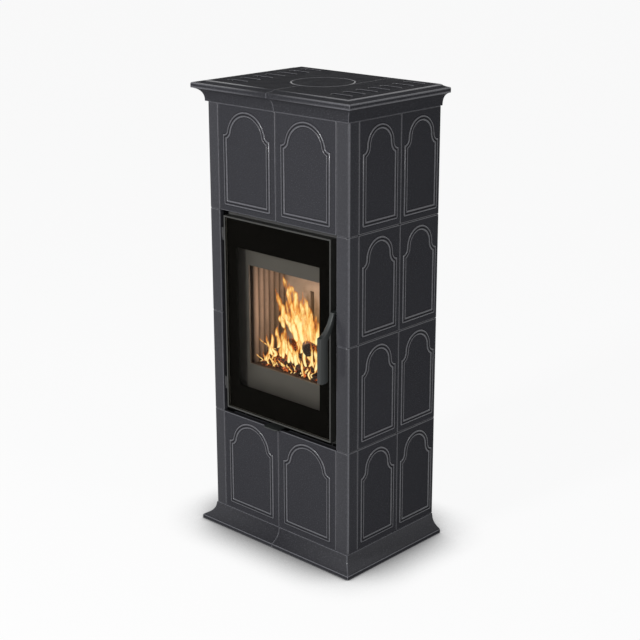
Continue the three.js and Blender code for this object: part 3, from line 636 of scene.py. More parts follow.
# Matt heat-proof paint hides the metal; zinc leaves a dull grey metal.
black_paint = steel_finish("matt_black_stove_paint", "#1d1d1e", "#2a2a2a", 0.0, 0.6, 1.2, 0.15)
zinc = steel_finish("zinc_plated_steel", "#8d8f90", "#777978", 1.0, 0.38, 2.5, 0.05)


def dress(finish, *nodes):
    """Gives CAD nodes that keep their own shape a finish."""
    for name in nodes:
        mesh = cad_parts[name].data
        mesh.materials.clear()
        mesh.materials.append(finish)


dress(black_paint, "base_plate", "stand_left", "stand_right", "air_port_plate")
dress(zinc, "foot_front_left", "foot_front_right", "foot_rear_left", "foot_rear_right")

# ---------- Firebox ----------
# A box welded from 4 mm sheet steel, painted black, lined with cast fireclay: upright half-round
# ribs at the sides, a slab with two air slots at the back, a hearth slab and a baffle over the fire.

dress(black_paint, "firebox_shell")


def clay_finish(name, dark, pale):
    """Cast fireclay with 2.5 mm pores, clouded from dark to pale, and dark where marked: soot and painted shade.
    """
    finish, tree = new_finish(name)
    smoke, pores = noise(tree, 14.0, 6.0, 0.65), noise(tree, 380.0, 3.0, 0.7)
    pitted = mix(tree, ramp(tree, pores, 0.5, 0.75, 0.0, 0.5), mix(tree, smoke, dark, pale), dark)
    surface(tree, {
        "Base Color": mix(tree, mark(tree, "soot_and_painted_shade"), pitted, "#4b403a"),
        "Roughness": 0.9,
        "Normal": bump(tree, pores, 0.5, 0.0008),
    })
    return finish


fireclay = clay_finish("smoked_fireclay", "#84766c", "#bdb0a5")
dress(fireclay, "lining_rear", "baffle_plate")
dress(clay_finish("ash_covered_fireclay", "#2e2420", "#57483f"), "hearth_slab")

HEARTH = 552.3
LINING_TOP = 880.3
LINING_FRONT, LINING_REAR = 62.0, 199.7
FIRE_HALF, LINING_OUTER = 159.7, 185.7
RIBS, FLUTE = 6, 7.0


def prism(form, loop, low, high, rounding, put):
    """A closed outline carried from low to high with round rims. put makes points of it."""
    turns = [math.radians(t) for t in (0, 22.5, 45, 67.5, 90)]
    foot = [(rounding * (1 - math.sin(t)), low + rounding * (1 - math.cos(t))) for t in turns]
    levels = foot + [(inset, low + high - z) for inset, z in reversed(foot)]
    form.shut([form.ring([put(u, v, z) for u, v in drawn_in(loop, inset)]) for inset, z in levels])


for side, sign in SIDES:
    ribbed = [(FIRE_HALF + FLUTE, LINING_FRONT), (LINING_OUTER, LINING_FRONT), (LINING_OUTER, LINING_REAR)]
    rib_pitch = (LINING_REAR - LINING_FRONT) / RIBS
    for rib in reversed(range(RIBS)):
        for k in range(14):
            turn = math.pi * k / 14
            across, along = FIRE_HALF + FLUTE * (1 - math.sin(turn)), rib + 0.5 + 0.5 * math.cos(turn)
            ribbed.append((across, LINING_FRONT + rib_pitch * along))
    form = Form()
    prism(form, ribbed, HEARTH + 0.3, LINING_TOP, 0.8, lambda u, v, z: (sign * u, v, z))
    # Painted shade: the mark rises from 0 on the rib crests to 1 deep in the flutes, darkening them as soot and
    # as shade.
    form.marks = [min(1.0, max(0.0, (abs(x) - FIRE_HALF) / FLUTE)) ** 0.7 for x, y, z in form.points]
    lining = form.piece("ribbed_lining_" + side, fireclay, 50.0, "soot_and_painted_shade")
    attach(lining, "stove_body")
    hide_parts("lining_" + side)

# ---------- Flue elbow and back ----------
# A bent steel pipe of 150 mm leads the smoke up from the firebox and out through the back. The back
# is a flat steel sheet in matt black paint, screwed to the tiles' inner frame.

FLUE_RADIUS, FLUE_WALL = 75.0, 2.0
FLUE_START, FLUE_RISE, FLUE_BEND = 1000.6, 60.0, 110.0
FLUE_Y = DEPTH / 2
FLUE_END = DEPTH + 45.0
FLUE_HEIGHT = FLUE_START + FLUE_RISE + FLUE_BEND

# Bare steel pipe, brushed round its axis and tempered brownish by heat.
pipe_steel = steel_finish("heat_tinted_pipe_steel", "#6f6a64", "#8a8884", 1.0, 0.42, 3.0, 0.05)
BEND_STEPS = 24
route = [(FLUE_Y, FLUE_START, 0.0), (FLUE_Y, FLUE_START + FLUE_RISE, 0.0)]
for k in range(1, BEND_STEPS):
    turn = math.pi / 2 * k / BEND_STEPS
    back, up = FLUE_BEND * (1 - math.cos(turn)), FLUE_BEND * math.sin(turn)
    route.append((FLUE_Y + back, FLUE_START + FLUE_RISE + up, turn))
route += [(FLUE_Y + FLUE_BEND, FLUE_HEIGHT, math.pi / 2), (FLUE_END, FLUE_HEIGHT, math.pi / 2)]


def pipe_ring(y, z, slant, radius):
    """A circle of the pipe, square to its route."""
    return form.ring([
        (across, y - out * math.cos(slant), z + out * math.sin(slant)) for out, across in circle(0, 0, radius, 48)
    ])


form = Form()
pipe = [pipe_ring(y, z, slant, FLUE_RADIUS) for y, z, slant in route]
pipe += [pipe_ring(y, z, slant, FLUE_RADIUS - FLUE_WALL) for y, z, slant in reversed(route)]
form.skins(pipe + pipe[:1])
elbow = form.piece("smoke_elbow", pipe_steel)
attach(elbow, "stove_body")
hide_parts("flue_elbow")

PANEL_HALF, PANEL_FRONT, PANEL_TOP = HALF_WIDTH - PLATE - 0.3, DEPTH - 3.0, TILES_TOP - JOINT / 2
form = Form()
form.sheet(
    (PANEL_FRONT, DEPTH),
    rectangle(-PANEL_HALF, PANEL_HALF, PLINTH_HEIGHT, PANEL_TOP),
    circle(0, FLUE_HEIGHT, FLUE_RADIUS + 1.5, 64),
)
panel = form.piece("back_sheet", black_paint)
soften(panel, 0.8, 60.0)
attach(panel, "stove_body")
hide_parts("rear_panel")

# Pan-head screws: radius and rise of the head.
HEAD = (1.2, -1.5), (4.4, -1.5), (4.4, 0.6), (4.0, 1.3), (3.1, 1.8), (1.7, 2.0), (1.2, 0.6)
SCREW_X, SCREW_Z, SCREW_ROWS = PANEL_HALF - 8, 15, 9
form = Form()
form.shut([
    form.ring([(x, DEPTH + rise, z) for x, z in circle(-SCREW_X, PLINTH_HEIGHT + SCREW_Z, radius, 12)])
    for radius, rise in HEAD
])
screws = form.piece("back_sheet_screws", zinc)
screw_pitch = (PANEL_TOP - PLINTH_HEIGHT - 2 * SCREW_Z) / (SCREW_ROWS - 1)
grow(
    screws, courses, columns=2, column_step=(2 * SCREW_X / 1000, 0, 0),
    rows=SCREW_ROWS, row_step=(0, 0, screw_pitch / 1000), seed=2, finish=zinc,
)
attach(screws, "stove_body")

# ---------- Front plate ----------
# A 6 mm steel plate behind the door closes the gap between tiles and firebox. It is painted black,
# with a square throat on to the fire and a cut-out below for the air lever.

PLATE_FRONT, PLATE_REAR = 36.0, 42.0
OPENING_LOW, OPENING_HIGH = PLINTH_HEIGHT + ROW_PITCH, PLINTH_HEIGHT + 3 * ROW_PITCH
THROAT_HALF, THROAT_LOW, THROAT_HIGH = 156.7, 560.3, 880.3
LEVER_X, LEVER_WIDTH, LEVER_TRAVEL = -20.0, 60.0, 60.0
SLIDE_LOW, SLIDE_HIGH = 389.5, 393.5
slot_left = LEVER_X - LEVER_WIDTH / 2 - LEVER_TRAVEL - 2
slot_right = LEVER_X + LEVER_WIDTH / 2 + LEVER_TRAVEL + 2
low, high, half = OPENING_LOW + 0.3, OPENING_HIGH - 0.3, FRONT_PITCH - 0.3
form = Form()
form.sheet((PLATE_FRONT, PLATE_REAR), [
    (-half, low), (slot_left, low), (slot_left, SLIDE_HIGH + 2.5), (slot_right, SLIDE_HIGH + 2.5),
    (slot_right, low), (half, low), (half, high), (-half, high),
], rectangle(-THROAT_HALF, THROAT_HALF, THROAT_LOW, THROAT_HIGH))
# Smoother, greyer paint than inside, since the fire keeps it clean.
grey_paint = steel_finish("grey_stove_paint", "#4a4a4a", "#565655", 0.0, 0.5, 1.5, 0.1)
face_plate = form.piece("throat_plate", grey_paint)
soften(face_plate, 1.2, 60.0)
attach(face_plate, "stove_body")
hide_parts("front_plate")
dress(black_paint, "hinge_arm_lower", "hinge_arm_upper", "latch_strike")

# ---------- Fire ----------
# Beech logs of forearm thickness, charred black and cracked by heat, crossed over a bed of embers,
# with flames between them. It lies loose on the hearth.

# Charred wood: sooty black brown, split along the grain, red hot in the cracks.
charred, tree = new_finish("charred_beech")
grain = noise(tree, 60.0, 5.0, 0.7)
cracks = add(tree, "ShaderNodeTexVoronoi", {
    "Vector": place(tree), "Scale": 70.0,
}, feature="DISTANCE_TO_EDGE")
hot_patches = ramp(tree, noise(tree, 22.0, 1.0), 0.5, 0.62)
surface(tree, {
    "Base Color": mix(tree, grain, "#120c0a", "#4a3a34"),
    "Roughness": 0.85,
    "Emission Color": "#ff6a1c",
    "Emission Strength": maths(tree, "MULTIPLY", ramp(tree, cracks, 0.0, 0.05, 1.0, 0.0), hot_patches),
    "Normal": bump(tree, grain, 0.8, 0.003),
})

# Along a log: share of its length, and girth.
GIRTHS = [(0.0, 0.01), (0.0, 0.86), (0.02, 0.97), (0.3, 1.03), (0.6, 0.97), (0.98, 1.0)]
GIRTHS += [(1.0, 0.86), (1.0, 0.01)]


def log(form, start, end, radius, seed):
    """A log with an uneven round section, from start to end."""
    a, b = Vector(start), Vector(end)
    along = (b - a).normalized()
    side = along.cross(Vector((0, 0, 1))).normalized()
    up = side.cross(along)
    form.shut([
        form.ring([
            a.lerp(b, share) + (side * math.cos(t) + up * math.sin(t)) * radius * girth * (
                1 + 0.05 * math.sin(3 * t + seed) + 0.03 * math.sin(7 * t + 2 * seed + 4 * share)
            )
            for t in np.linspace(0, 2 * math.pi, 28, endpoint=False)
        ])
        for share, girth in GIRTHS
    ])


LOGS = [
    ((66, 72, 646), (-34, 170, 622), 21, 1.0),
    ((128, 84, 590), (-30, 128, 596), 21, 2.0),
    ((-140, 104, 576), (40, 92, 580), 19, 3.0),
    ((-52, 100, 632), (-92, 178, 606), 15, 4.0),
    ((-120, 150, 590), (90, 172, 592), 20, 5.0),
    ((10, 74, 572), (120, 120, 570), 15, 6.0),
    ((-98, 80, 596), (-20, 150, 620), 13, 7.0),
]
form = Form()
for start, end, radius, seed in LOGS:
    log(form, start, end, radius, seed)
logs = form.piece("burning_logs", charred, 35.0)
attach(logs, "stove_body")

# Embers: lumps of glowing charcoal, red in the depth of the bed and grey with ash on top.
embers_finish, tree = new_finish("glowing_charcoal")
heat = noise(tree, 55.0, 4.0, 0.7)
surface(tree, {
    "Base Color": mix(tree, heat, "#1b1513", "#5b4a44"),
    "Roughness": 0.9,
    "Emission Color": mix(tree, heat, "#a81f08", "#ff8a3a"),
    "Emission Strength": ramp(tree, heat, 0.5, 0.64, 0.0, 1.3),
})

# Scatters lumps of charcoal over a low mound, each a dented ball.
scatter, given = new_growth("ember_bed", "Embers", {
    "Mound": "Geometry", "Density": "Float", "Lump Radius": "Float", "Seed": "Int",
})
spots = add(scatter, "GeometryNodeDistributePointsOnFaces", {
    "Mesh": given["Mound"], "Density": given["Density"], "Seed": given["Seed"],
})
ball = add(scatter, "GeometryNodeMeshIcoSphere", {"Radius": given["Lump Radius"], "Subdivisions": 2})
where = add(scatter, "GeometryNodeInputPosition")
dents = add(scatter, "ShaderNodeTexNoise", {"Vector": where, "Scale": 130.0, "Detail": 1.0})
dented = add(scatter, "ShaderNodeVectorMath", {
    0: where, "Scale": ramp(scatter, dents, 0.3, 0.7, 0.6, 1.3),
}, operation="SCALE")
lump = add(scatter, "GeometryNodeSetPosition", {"Geometry": ball, "Position": dented})
turn, size = (
    add(scatter, "FunctionNodeRandomValue", {
        0: least, 1: most, "Seed": given["Seed"],
    }, data_type="FLOAT_VECTOR")
    for least, most in (((0.0, 0.0, 0.0), (6.28, 6.28, 6.28)), ((0.6, 0.5, 0.5), (1.7, 1.1, 1.0)))
)
end_growth(scatter, add(scatter, "GeometryNodeInstanceOnPoints", {
    "Points": spots, "Instance": lump, "Rotation": turn, "Scale": size,
}), given["Finish"])
form = Form()
mound = []
for row in range(7):
    y = 68 + 19 * row
    rise = 10 * math.sin(math.pi * (row + 1) / 8)
    mound.append(form.ring([(x, y, HEARTH + 7 + rise * math.cos(x / 100)) for x in range(-150, 151, 25)]))
form.skins(mound, closed=False)
embers = form.piece("ember_bed", embers_finish)
grow(embers, scatter, density=9000.0, lump_radius=0.0085, seed=4, finish=embers_finish)
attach(embers, "stove_body")

# Flames: sheets of burning gas, nearly white at the core, orange and thinner towards edge and tip.
flame_finish, tree = new_finish("wood_flame")
stretched = add(tree, "ShaderNodeMapping", {"Vector": place(tree), "Scale": (90.0, 90.0, 22.0)})
streaks = add(tree, "ShaderNodeTexNoise", {"Vector": stretched, "Scale": 1.0, "Detail": 3.0})
lick = maths(tree, "ADD", mark(tree, "flame_body"), ramp(tree, streaks, 0.3, 0.7, -0.5, 0.3))
orange = mix(tree, ramp(tree, lick, 0.1, 0.55), "#e2702c", "#ffc552")
surface(tree, {
    0: ramp(tree, lick, 0.02, 0.6, 0.0, 0.85),
    1: add(tree, "ShaderNodeBsdfTransparent"),
    2: add(tree, "ShaderNodeEmission", {
        "Color": mix(tree, ramp(tree, lick, 0.3, 0.76), orange, "#fff3b4"),
        "Strength": 1.35,
    }),
}, "ShaderNodeMixShader")
FLAME_WIDTH = [k / 4 for k in range(-4, 5)]
def flame(form, route, width, lean=0.42):
    """A thin sheet of flame along a route, broad below and drawn out to a tip."""
    line = curve_through(route, 6)
    face = Vector((lean, -1, 0)).normalized()
    across = face.cross(Vector((0, 0, 1))).normalized()
    front, back = [], []
    for k, spot in enumerate(line):
        t = k / (len(line) - 1)
        half = width * (0.25 + 2.2 * t) * (1 - t) ** 1.1 + 0.3
        here = Vector(spot)
        for side, rings in ((1, front), (-1, back)):
            ring = form.ring([
                here + across * half * a + face * (1.5 * (1 - a * a)) * side for a in FLAME_WIDTH
            ])
            body = (1 - 0.75 * t) * min(1.0, 0.35 + 6 * t)
            form.marks[ring[0]:] = [(1 - a * a) * body for a in FLAME_WIDTH]
            rings.append(ring)
    form.skins(front, closed=False)
    form.skins(back, closed=False)
    for end in (0, -1):
        form.skin(front[end], back[end], closed=False)


# The main blaze at the right leans left to its tips; smaller flames stand between the logs.
FLAMES = [
    ([(6, 112, 596), (18, 112, 655), (10, 112, 705), (-12, 112, 748), (-38, 112, 796), (-76, 112, 838)], 54),
    ([(22, 104, 604), (36, 104, 660), (36, 104, 712), (28, 104, 756), (8, 104, 812)], 40),
    ([(-10, 118, 610), (-24, 118, 690), (-34, 118, 735), (-62, 118, 778), (-90, 118, 842)], 40),
    ([(34, 100, 612), (44, 100, 655), (40, 100, 706), (48, 100, 766)], 24),
    ([(-44, 116, 664), (-60, 114, 700), (-88, 112, 736), (-118, 112, 796)], 28),
    ([(-78, 112, 672), (-90, 112, 700), (-84, 112, 722), (-96, 112, 748)], 20),
    ([(-20, 108, 640), (-34, 108, 690), (-60, 108, 726), (-66, 108, 770)], 24),
    ([(12, 100, 640), (4, 100, 690), (-14, 100, 724), (-40, 100, 768), (-44, 100, 800)], 26),
    ([(-14, 96, 600), (-70, 90, 606), (-118, 76, 618), (-158, 68, 640)], 8),
    ([(-30, 90, 590), (-54, 90, 625), (-62, 92, 660), (-50, 92, 690)], 22),
    ([(-92, 96, 590), (-84, 96, 626), (-98, 98, 658), (-90, 98, 690)], 15),
    ([(96, 66, 584), (104, 66, 622), (94, 68, 652), (104, 70, 682)], 13),
    ([(10, 76, 572), (2, 74, 612), (-22, 74, 646), (-30, 76, 676)], 17),
    ([(60, 110, 650), (66, 110, 700), (58, 110, 744)], 15),
]
chance = np.random.default_rng(11)
for count, span, depth, foot, rise, broad in ((22, 142, 69, 558, 42, 7), (13, 118, 76, 586, 66, 12)):
    for k in range(count):
        x = -span + 2 * span * (k + chance.uniform(-0.4, 0.4)) / count
        y, z = depth + chance.uniform(-4, 4), foot + chance.uniform(-6, 8)
        tall, lean, bow = rise * chance.uniform(0.5, 1.4), chance.uniform(-22, 16), chance.uniform(-14, 14)
        bends = ((0, 0), (bow, 0.35), (lean * 0.5, 0.7), (lean, 1))
        FLAMES.append((
            [(x + shift, y, z + share * tall) for shift, share in bends], broad * chance.uniform(0.6, 1.3),
        ))
form = Form()
for route, width in FLAMES:
    flame(form, route, width)
flames = form.piece("flames", flame_finish, 180.0, "flame_body")
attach(flames, "stove_body")

# The fire's own light on the linings.
ember_light = bpy.data.lights.new("firelight", "POINT")
ember_light.energy = 1.3
ember_light.color = linear("#ffdcc4")[:3]
ember_light.shadow_soft_size = 0.05
firelight = bpy.data.objects.new("firelight", ember_light)
firelight.location = (0.0, FACE_Y + 0.085, 0.74)
scene.collection.objects.link(firelight)

# ---------- Door leaf ----------
# A thin steel frame, painted satin grey, with a rim round one full pane. Two knuckles are welded to
# its left edge, and a braided rope in its back closes against the front plate.

LEAF_HALF, LEAF_LOW, LEAF_HIGH = FRONT_PITCH - 19.0, OPENING_LOW + 19.5, OPENING_HIGH - 14.0
LEAF_FRONT, LEAF_REAR, RIM = -3.0, 22.0, 5.0
GLASS_FRONT, GLASS_REAR = -1.5, 3.5
HINGE_X, HINGE_Y = -LEAF_HALF - 8.0, 5.0
HINGES = (LEAF_LOW + 70.0, LEAF_HIGH - 70.0)


def round_leaf(form, inset, depth):
    """A ring round the door leaf, drawn in by inset."""
    loop = rectangle(inset - LEAF_HALF, LEAF_HALF - inset, LEAF_LOW + inset, LEAF_HIGH - inset)
    return form.ring([(x, depth, z) for x, z in loop])


def turned(form, profile, x, y, steps):
    """A profile of radius, height and mark, turned about an upright axis. It closes or gets flat ends."""
    rings = [
        form.ring([(u, v, z) for u, v in circle(x, y, radius, steps)], mark) for radius, z, mark in profile
    ]
    if profile[0] == profile[-1]:
        form.skins(rings)
    else:
        form.shut(rings)


form = Form()
BED = GLASS_REAR + 0.3
section = [(0.0, LEAF_FRONT), (RIM, LEAF_FRONT), (RIM, BED), (35.0, BED), (35.0, BED + 5.0)]
section += [(24.0, BED + 5.0), (24.0, LEAF_REAR), (0.0, LEAF_REAR)]
leaf_rings = [round_leaf(form, inset, depth) for inset, depth in section]
form.skins(leaf_rings + leaf_rings[:1])
# Satin heat-proof paint, a warm dark grey, paler where it is rubbed.
rim_paint = steel_finish("satin_grey_door_paint", "#3a3a38", "#454542", 0.35, 0.36, 1.5, 0.06)
leaf = form.piece("door_leaf_frame", rim_paint)
soften(leaf, 1.0, 60.0)
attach(leaf, "door")
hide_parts("door_frame")

KNUCKLE = 30
form = Form()
for z in HINGES:
    top = z + KNUCKLE
    turned(form, [(3.8, z, 0), (7, z, 0), (7, top, 0), (3.8, top, 0), (3.8, z, 0)], HINGE_X, HINGE_Y, 32)
    form.shut([
        form.ring([(x, y, w) for y, w in rectangle(10.4, 14.4, z, top)]) for x in (HINGE_X, 1 - LEAF_HALF)
    ])
knuckles = form.piece("door_knuckles", black_paint)
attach(knuckles, "door")

# Braided mineral rope, dark grey, matt and hairy.
rope_finish, tree = new_finish("braided_mineral_rope")
hairs = noise(tree, 900.0)
surface(tree, {
    "Base Color": mix(tree, hairs, "#2a2826", "#56524c"),
    "Roughness": 0.95,
    "Normal": bump(tree, hairs, 0.6, 0.0005),
})

# Lays three strands of rope round a closed path, twisted about it.
rope, given = new_growth("twisted_rope", "Rope", {
    "Path": "Geometry", "Strand Radius": "Float", "Turns": "Float", "Points": "Int",
})
path = add(rope, "GeometryNodeMeshToCurve", {"Mesh": given["Path"]})
fine = add(rope, "GeometryNodeResampleCurve", {"Curve": path, "Count": given["Points"]})
section = add(rope, "GeometryNodeCurvePrimitiveCircle", {"Resolution": 6, "Radius": given["Strand Radius"]})
outward = 0.0, 1.0, 0.0
tangent = add(rope, "GeometryNodeInputTangent")
inward = add(rope, "ShaderNodeVectorMath", {0: tangent, 1: outward}, operation="CROSS_PRODUCT")
along = add(rope, "GeometryNodeSplineParameter").outputs["Factor"]
wound = maths(rope, "MULTIPLY", along, given["Turns"])
strands = add(rope, "GeometryNodeJoinGeometry")
for number in range(3):
    angle = maths(rope, "MULTIPLY", maths(rope, "ADD", wound, number / 3), 2 * math.pi)
    shifts = []
    for wave, way in (("SINE", outward), ("COSINE", inward)):
        reach = maths(rope, "MULTIPLY", maths(rope, wave, angle), given["Strand Radius"])
        shifts.append(add(rope, "ShaderNodeVectorMath", {0: way, "Scale": reach}, operation="SCALE"))
    shift = add(rope, "ShaderNodeVectorMath", enumerate(shifts), operation="ADD")
    line = add(rope, "GeometryNodeSetPosition", {"Geometry": fine, "Offset": shift})
    strand = add(rope, "GeometryNodeCurveToMesh", {"Curve": line, "Profile Curve": section})
    rope.links.new(strand.outputs[0], strands.inputs[0])
end_growth(rope, strands, given["Finish"])

SEAL_INSET, SEAL_DEPTH, BEND = 12.0, (LEAF_REAR + PLATE_FRONT) / 2, 14.0
seal_half, seal_low, seal_high = LEAF_HALF - SEAL_INSET, LEAF_LOW + SEAL_INSET, LEAF_HIGH - SEAL_INSET
loop = [
    (x / 1000, FACE_Y + SEAL_DEPTH / 1000, z / 1000)
    for x, z in rounded(-seal_half, seal_half, seal_low, seal_high, BEND, 6)
]
path_mesh = bpy.data.meshes.new("rope_seal")
path_mesh.from_pydata(loop, [(i, (i + 1) % len(loop)) for i in range(len(loop))], [])
seal = bpy.data.objects.new("rope_seal", path_mesh)
scene.collection.objects.link(seal)
grow(seal, rope, strand_radius=0.0032, turns=78.0, points=780, finish=rope_finish)
seal.data.shade_smooth()
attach(seal, "door")
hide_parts("door_seal")

# ---------- Pane ----------
# One sheet of clear glass ceramic, 5 mm thick, ground at its edges. Its back carries a black enamel
# border, printed on and fired, that leaves a clear window before the fire.

WINDOW = (-170.0, 173.0, 496.0, 940.0)
clear_glass, tree = new_finish("clear_glass_ceramic")
# Only its outer skin mirrors; from within, light passes straight out. Before the enamel it adds no
# mirror of its own, since the enamel is as glossy.
within = add(tree, "ShaderNodeNewGeometry").outputs["Backfacing"]
fresnel = add(tree, "ShaderNodeFresnel", {"IOR": 1.12})
gloss = maths(tree, "MULTIPLY", fresnel, maths(tree, "SUBTRACT", 1.0, within))
spot = add(tree, "ShaderNodeSeparateXYZ", {"Vector": place(tree)})
for axis, low, high in (("X", *WINDOW[:2]), ("Z", *WINDOW[2:])):
    near = maths(tree, "COMPARE", spot.outputs[axis], (low + high) / 2000, (high - low) / 2000)
    gloss = maths(tree, "MULTIPLY", gloss, near)
surface(tree, {
    0: gloss,
    1: add(tree, "ShaderNodeBsdfTransparent", {"Color": "#f4f2ee"}),
    2: add(tree, "ShaderNodeBsdfGlossy", {"Color": "#ffffff", "Roughness": 0.3}),
}, "ShaderNodeMixShader")
edge = RIM + 0.3
pane = block(
    "fire_door_pane", edge - LEAF_HALF, LEAF_HALF - edge, GLASS_FRONT, GLASS_REAR,
    LEAF_LOW + edge, LEAF_HIGH - edge, clear_glass,
)
soften(pane, 0.7)
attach(pane, "door")
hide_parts("door_glass")

# Fired enamel: dense black, glossy like the glass that it lies on.
enamel, tree = new_finish("black_glass_enamel")
surface(tree, {
    "Base Color": mix(tree, noise(tree, 9.0), "#050505", "#0a0a09"),
    "Roughness": 0.3,
    "Specular IOR Level": 0.03,
})
form = Form()
rims = []
for depth in (GLASS_REAR + 0.04, GLASS_REAR + 0.2):
    outer = round_leaf(form, edge + 1.0, depth)
    window = form.ring([(x, depth, z) for x, z in rectangle(*WINDOW)])
    form.skin(outer, window)
    rims.append((outer, window))
form.skin(rims[0][0], rims[1][0])
form.skin(rims[0][1], rims[1][1])
border = form.piece("enamel_border", enamel)
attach(border, "door")

# ---------- Door handle ----------
# An upright grip of cast iron whose front face sweeps up and back as a horn, down to a pivot in the
# gap beside the door. Behind the pivot it ends in a latch that wedges under a strike.

HANDLE_LEFT, HANDLE_WIDTH = LEAF_HALF + 0.6, 15.5
PIVOT_Y, PIVOT_Z, BOSS = 8.0, 812.0, 9.0
GRIP_FRONT, GRIP_BACK = -62.0, -30.0
GRIP_LOW, GRIP_HIGH, HORN = 609.0, 752.0, 818.0


def bezier(points, steps=14):
    """Points of a Bezier curve of any degree, without the last."""
    line = []
    for k in range(steps):
        row, t = [Vector(p) for p in points], k / steps
        while len(row) > 1:
            row = [a.lerp(b, t) for a, b in zip(row, row[1:])]
        line.append(tuple(row[0]))
    return line


def carried(u, v, x):
    """A point of the handle's side view at a place across."""
    return x, u, v


tip = PIVOT_Y - BOSS
foot = GRIP_FRONT + 16
outline = bezier([(GRIP_BACK, GRIP_LOW + 6), (GRIP_BACK - 4, GRIP_LOW), (foot, GRIP_LOW)], 6)
outline += bezier([(foot, GRIP_LOW), (GRIP_FRONT + 2, GRIP_LOW), (GRIP_FRONT, GRIP_LOW + 6)], 6)
outline += [(GRIP_FRONT, GRIP_LOW + 6)]
outline += bezier([
    (GRIP_FRONT, GRIP_HIGH), (GRIP_FRONT + 26, GRIP_HIGH + 6), (tip - 16, GRIP_HIGH + 30), (tip - 6, HORN),
])
outline += [(tip - 6, HORN), (PIVOT_Y - 2, PIVOT_Z + BOSS - 1)]
outline += arc(PIVOT_Y, PIVOT_Z, BOSS, np.radians(np.arange(80, -91, -10)))
heel = (GRIP_BACK, GRIP_HIGH - 14)
outline += bezier([(tip + 2, PIVOT_Z - 6), (tip - 4, PIVOT_Z - 30), (GRIP_BACK + 12, GRIP_HIGH + 6), heel])
outline += [heel]
# Cast iron with a dull, slightly greenish dark grey stove lacquer, rubbed lighter where it is held.
iron = steel_finish("satin_dark_cast_iron", "#232625", "#303332", 0.2, 0.42, 2.0, 0.12)
form = Form()
prism(form, outline, HANDLE_LEFT, HANDLE_LEFT + HANDLE_WIDTH, 2.2, carried)
LATCH = 31.0
latch = [(PIVOT_Y, PIVOT_Z - 4), (LATCH - 3, PIVOT_Z - 1), (LATCH, PIVOT_Z + 3)]
latch += [(LATCH, PIVOT_Z + 8.7), (PIVOT_Y, PIVOT_Z + 8.7)]
prism(form, latch, HANDLE_LEFT, HANDLE_LEFT + HANDLE_WIDTH, 1.0, carried)
handle = form.piece("horn_handle", iron)
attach(handle, "handle")
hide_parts("door_handle")
dress(zinc, "handle_pivot")

# ---------- Air lever ----------
# A steel slide under the firebox opens and closes three air ports. Its tongue comes out under the
# door with a rounded front, to be pushed left and right.

SLIDE_HALF, SLIDE_FRONT, SLIDE_REAR, TONGUE = 90.0, 42.6, 116.0, -18.0
left, right = LEVER_X - LEVER_WIDTH / 2, LEVER_X + LEVER_WIDTH / 2
quarter, tip_radius = np.linspace(-math.pi / 2, 0, 9), 9
tongue = arc(right - tip_radius, TONGUE + tip_radius, tip_radius, quarter)
tongue += [(right, SLIDE_FRONT), (LEVER_X + SLIDE_HALF, SLIDE_FRONT), (LEVER_X + SLIDE_HALF, SLIDE_REAR)]
tongue += [(LEVER_X - SLIDE_HALF, SLIDE_REAR), (LEVER_X - SLIDE_HALF, SLIDE_FRONT), (left, SLIDE_FRONT)]
tongue += arc(left + tip_radius, TONGUE + tip_radius, tip_radius, quarter - math.pi / 2)
form = Form()
prism(form, tongue, SLIDE_LOW, SLIDE_HIGH, 0.9, lambda u, v, z: (u, v, z))
slide = form.piece("air_slide_tongue", iron)
PORT_HALF, PORT_REACH, PORT_PITCH = 7, 22, 40.0
port_y = (PLATE_REAR + 0.3 + SLIDE_REAR) / 2
ports_y = (port_y - PORT_REACH, port_y + PORT_REACH)
for number in (-1, 0, 1):
    x = LEVER_X + PORT_PITCH * number
    carve(slide, block("port", x - PORT_HALF, x + PORT_HALF, *ports_y, SLIDE_LOW - 5, SLIDE_HIGH + 5, iron))
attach(slide, "air_slide")
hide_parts("air_lever")

# ---------- Crown and round cover ----------
# The top course: two glazed pieces with a coved moulding that meet in a seam at the middle of the
# front and, behind the round cover, further right. Slots let out warm air; the cover lifts off.

CROWN_TOP = TILES_TOP + 63.0
# Painted shade: the level top is marked darker than the sides.
PAINTED_TOP_SHADE = -0.45
SLAB = 25.0
COVER_RADIUS, COVER_LEDGE, COVER_RIM = 97.0, 12.0, 13.0
cove = [(5, 6), (5.9, 13), (7.8, 20), (11.2, 27), (16.2, 33), (23, 37.6), (30, 40.2), (34, 41.2)]
slope = curve_through([(30.5, 57.5), (22, 57.8), (13, 58.8), (6, 60.3)], 3)
# Marks on the profile: pale on the fascia's edges and the inner line, thin glaze with painted highlights; the
# level top gets painted shade.
crown_levels = [(5, JOINT / 2, 0.0), (5, 3, 0.0)] + [(o, z, 0.0) for o, z in curve_through(cove, 3)]
crown_levels += [(34.7, 41.6, 0.6), (35, 42.5, 0.9), (35, 43.5, 0.7), (35, 46.0, 0.25), (35, 47.5, 0.0)]
crown_levels += [(35, 52.6, 0.0), (34.9, 54.0, 0.6)]
crown_levels += [(34.4, 55.3, 1.0), (33.5, 56.4, 1.0), (32.3, 57.1, 0.6)] + [(o, z, 0.0) for o, z in slope]
crown_levels += [(3.6, 61.2, 0.3), (1.8, 62.1, 0.9), (0.2, 62.7, 1.0), (-1.4, 63.0, 0.6)]
crown_levels += [(-3, 63.0, PAINTED_TOP_SHADE)]
SLOTS, SLOT_LENGTH, SLOT_WIDTH = 7, 75.0, 18.0
SLOT_X, FIRST_SLOT, LAST_SLOT = HALF_WIDTH - 77.0, 56.0, DEPTH - 35.0
REAR_SEAM = COVER_RADIUS - 2.0


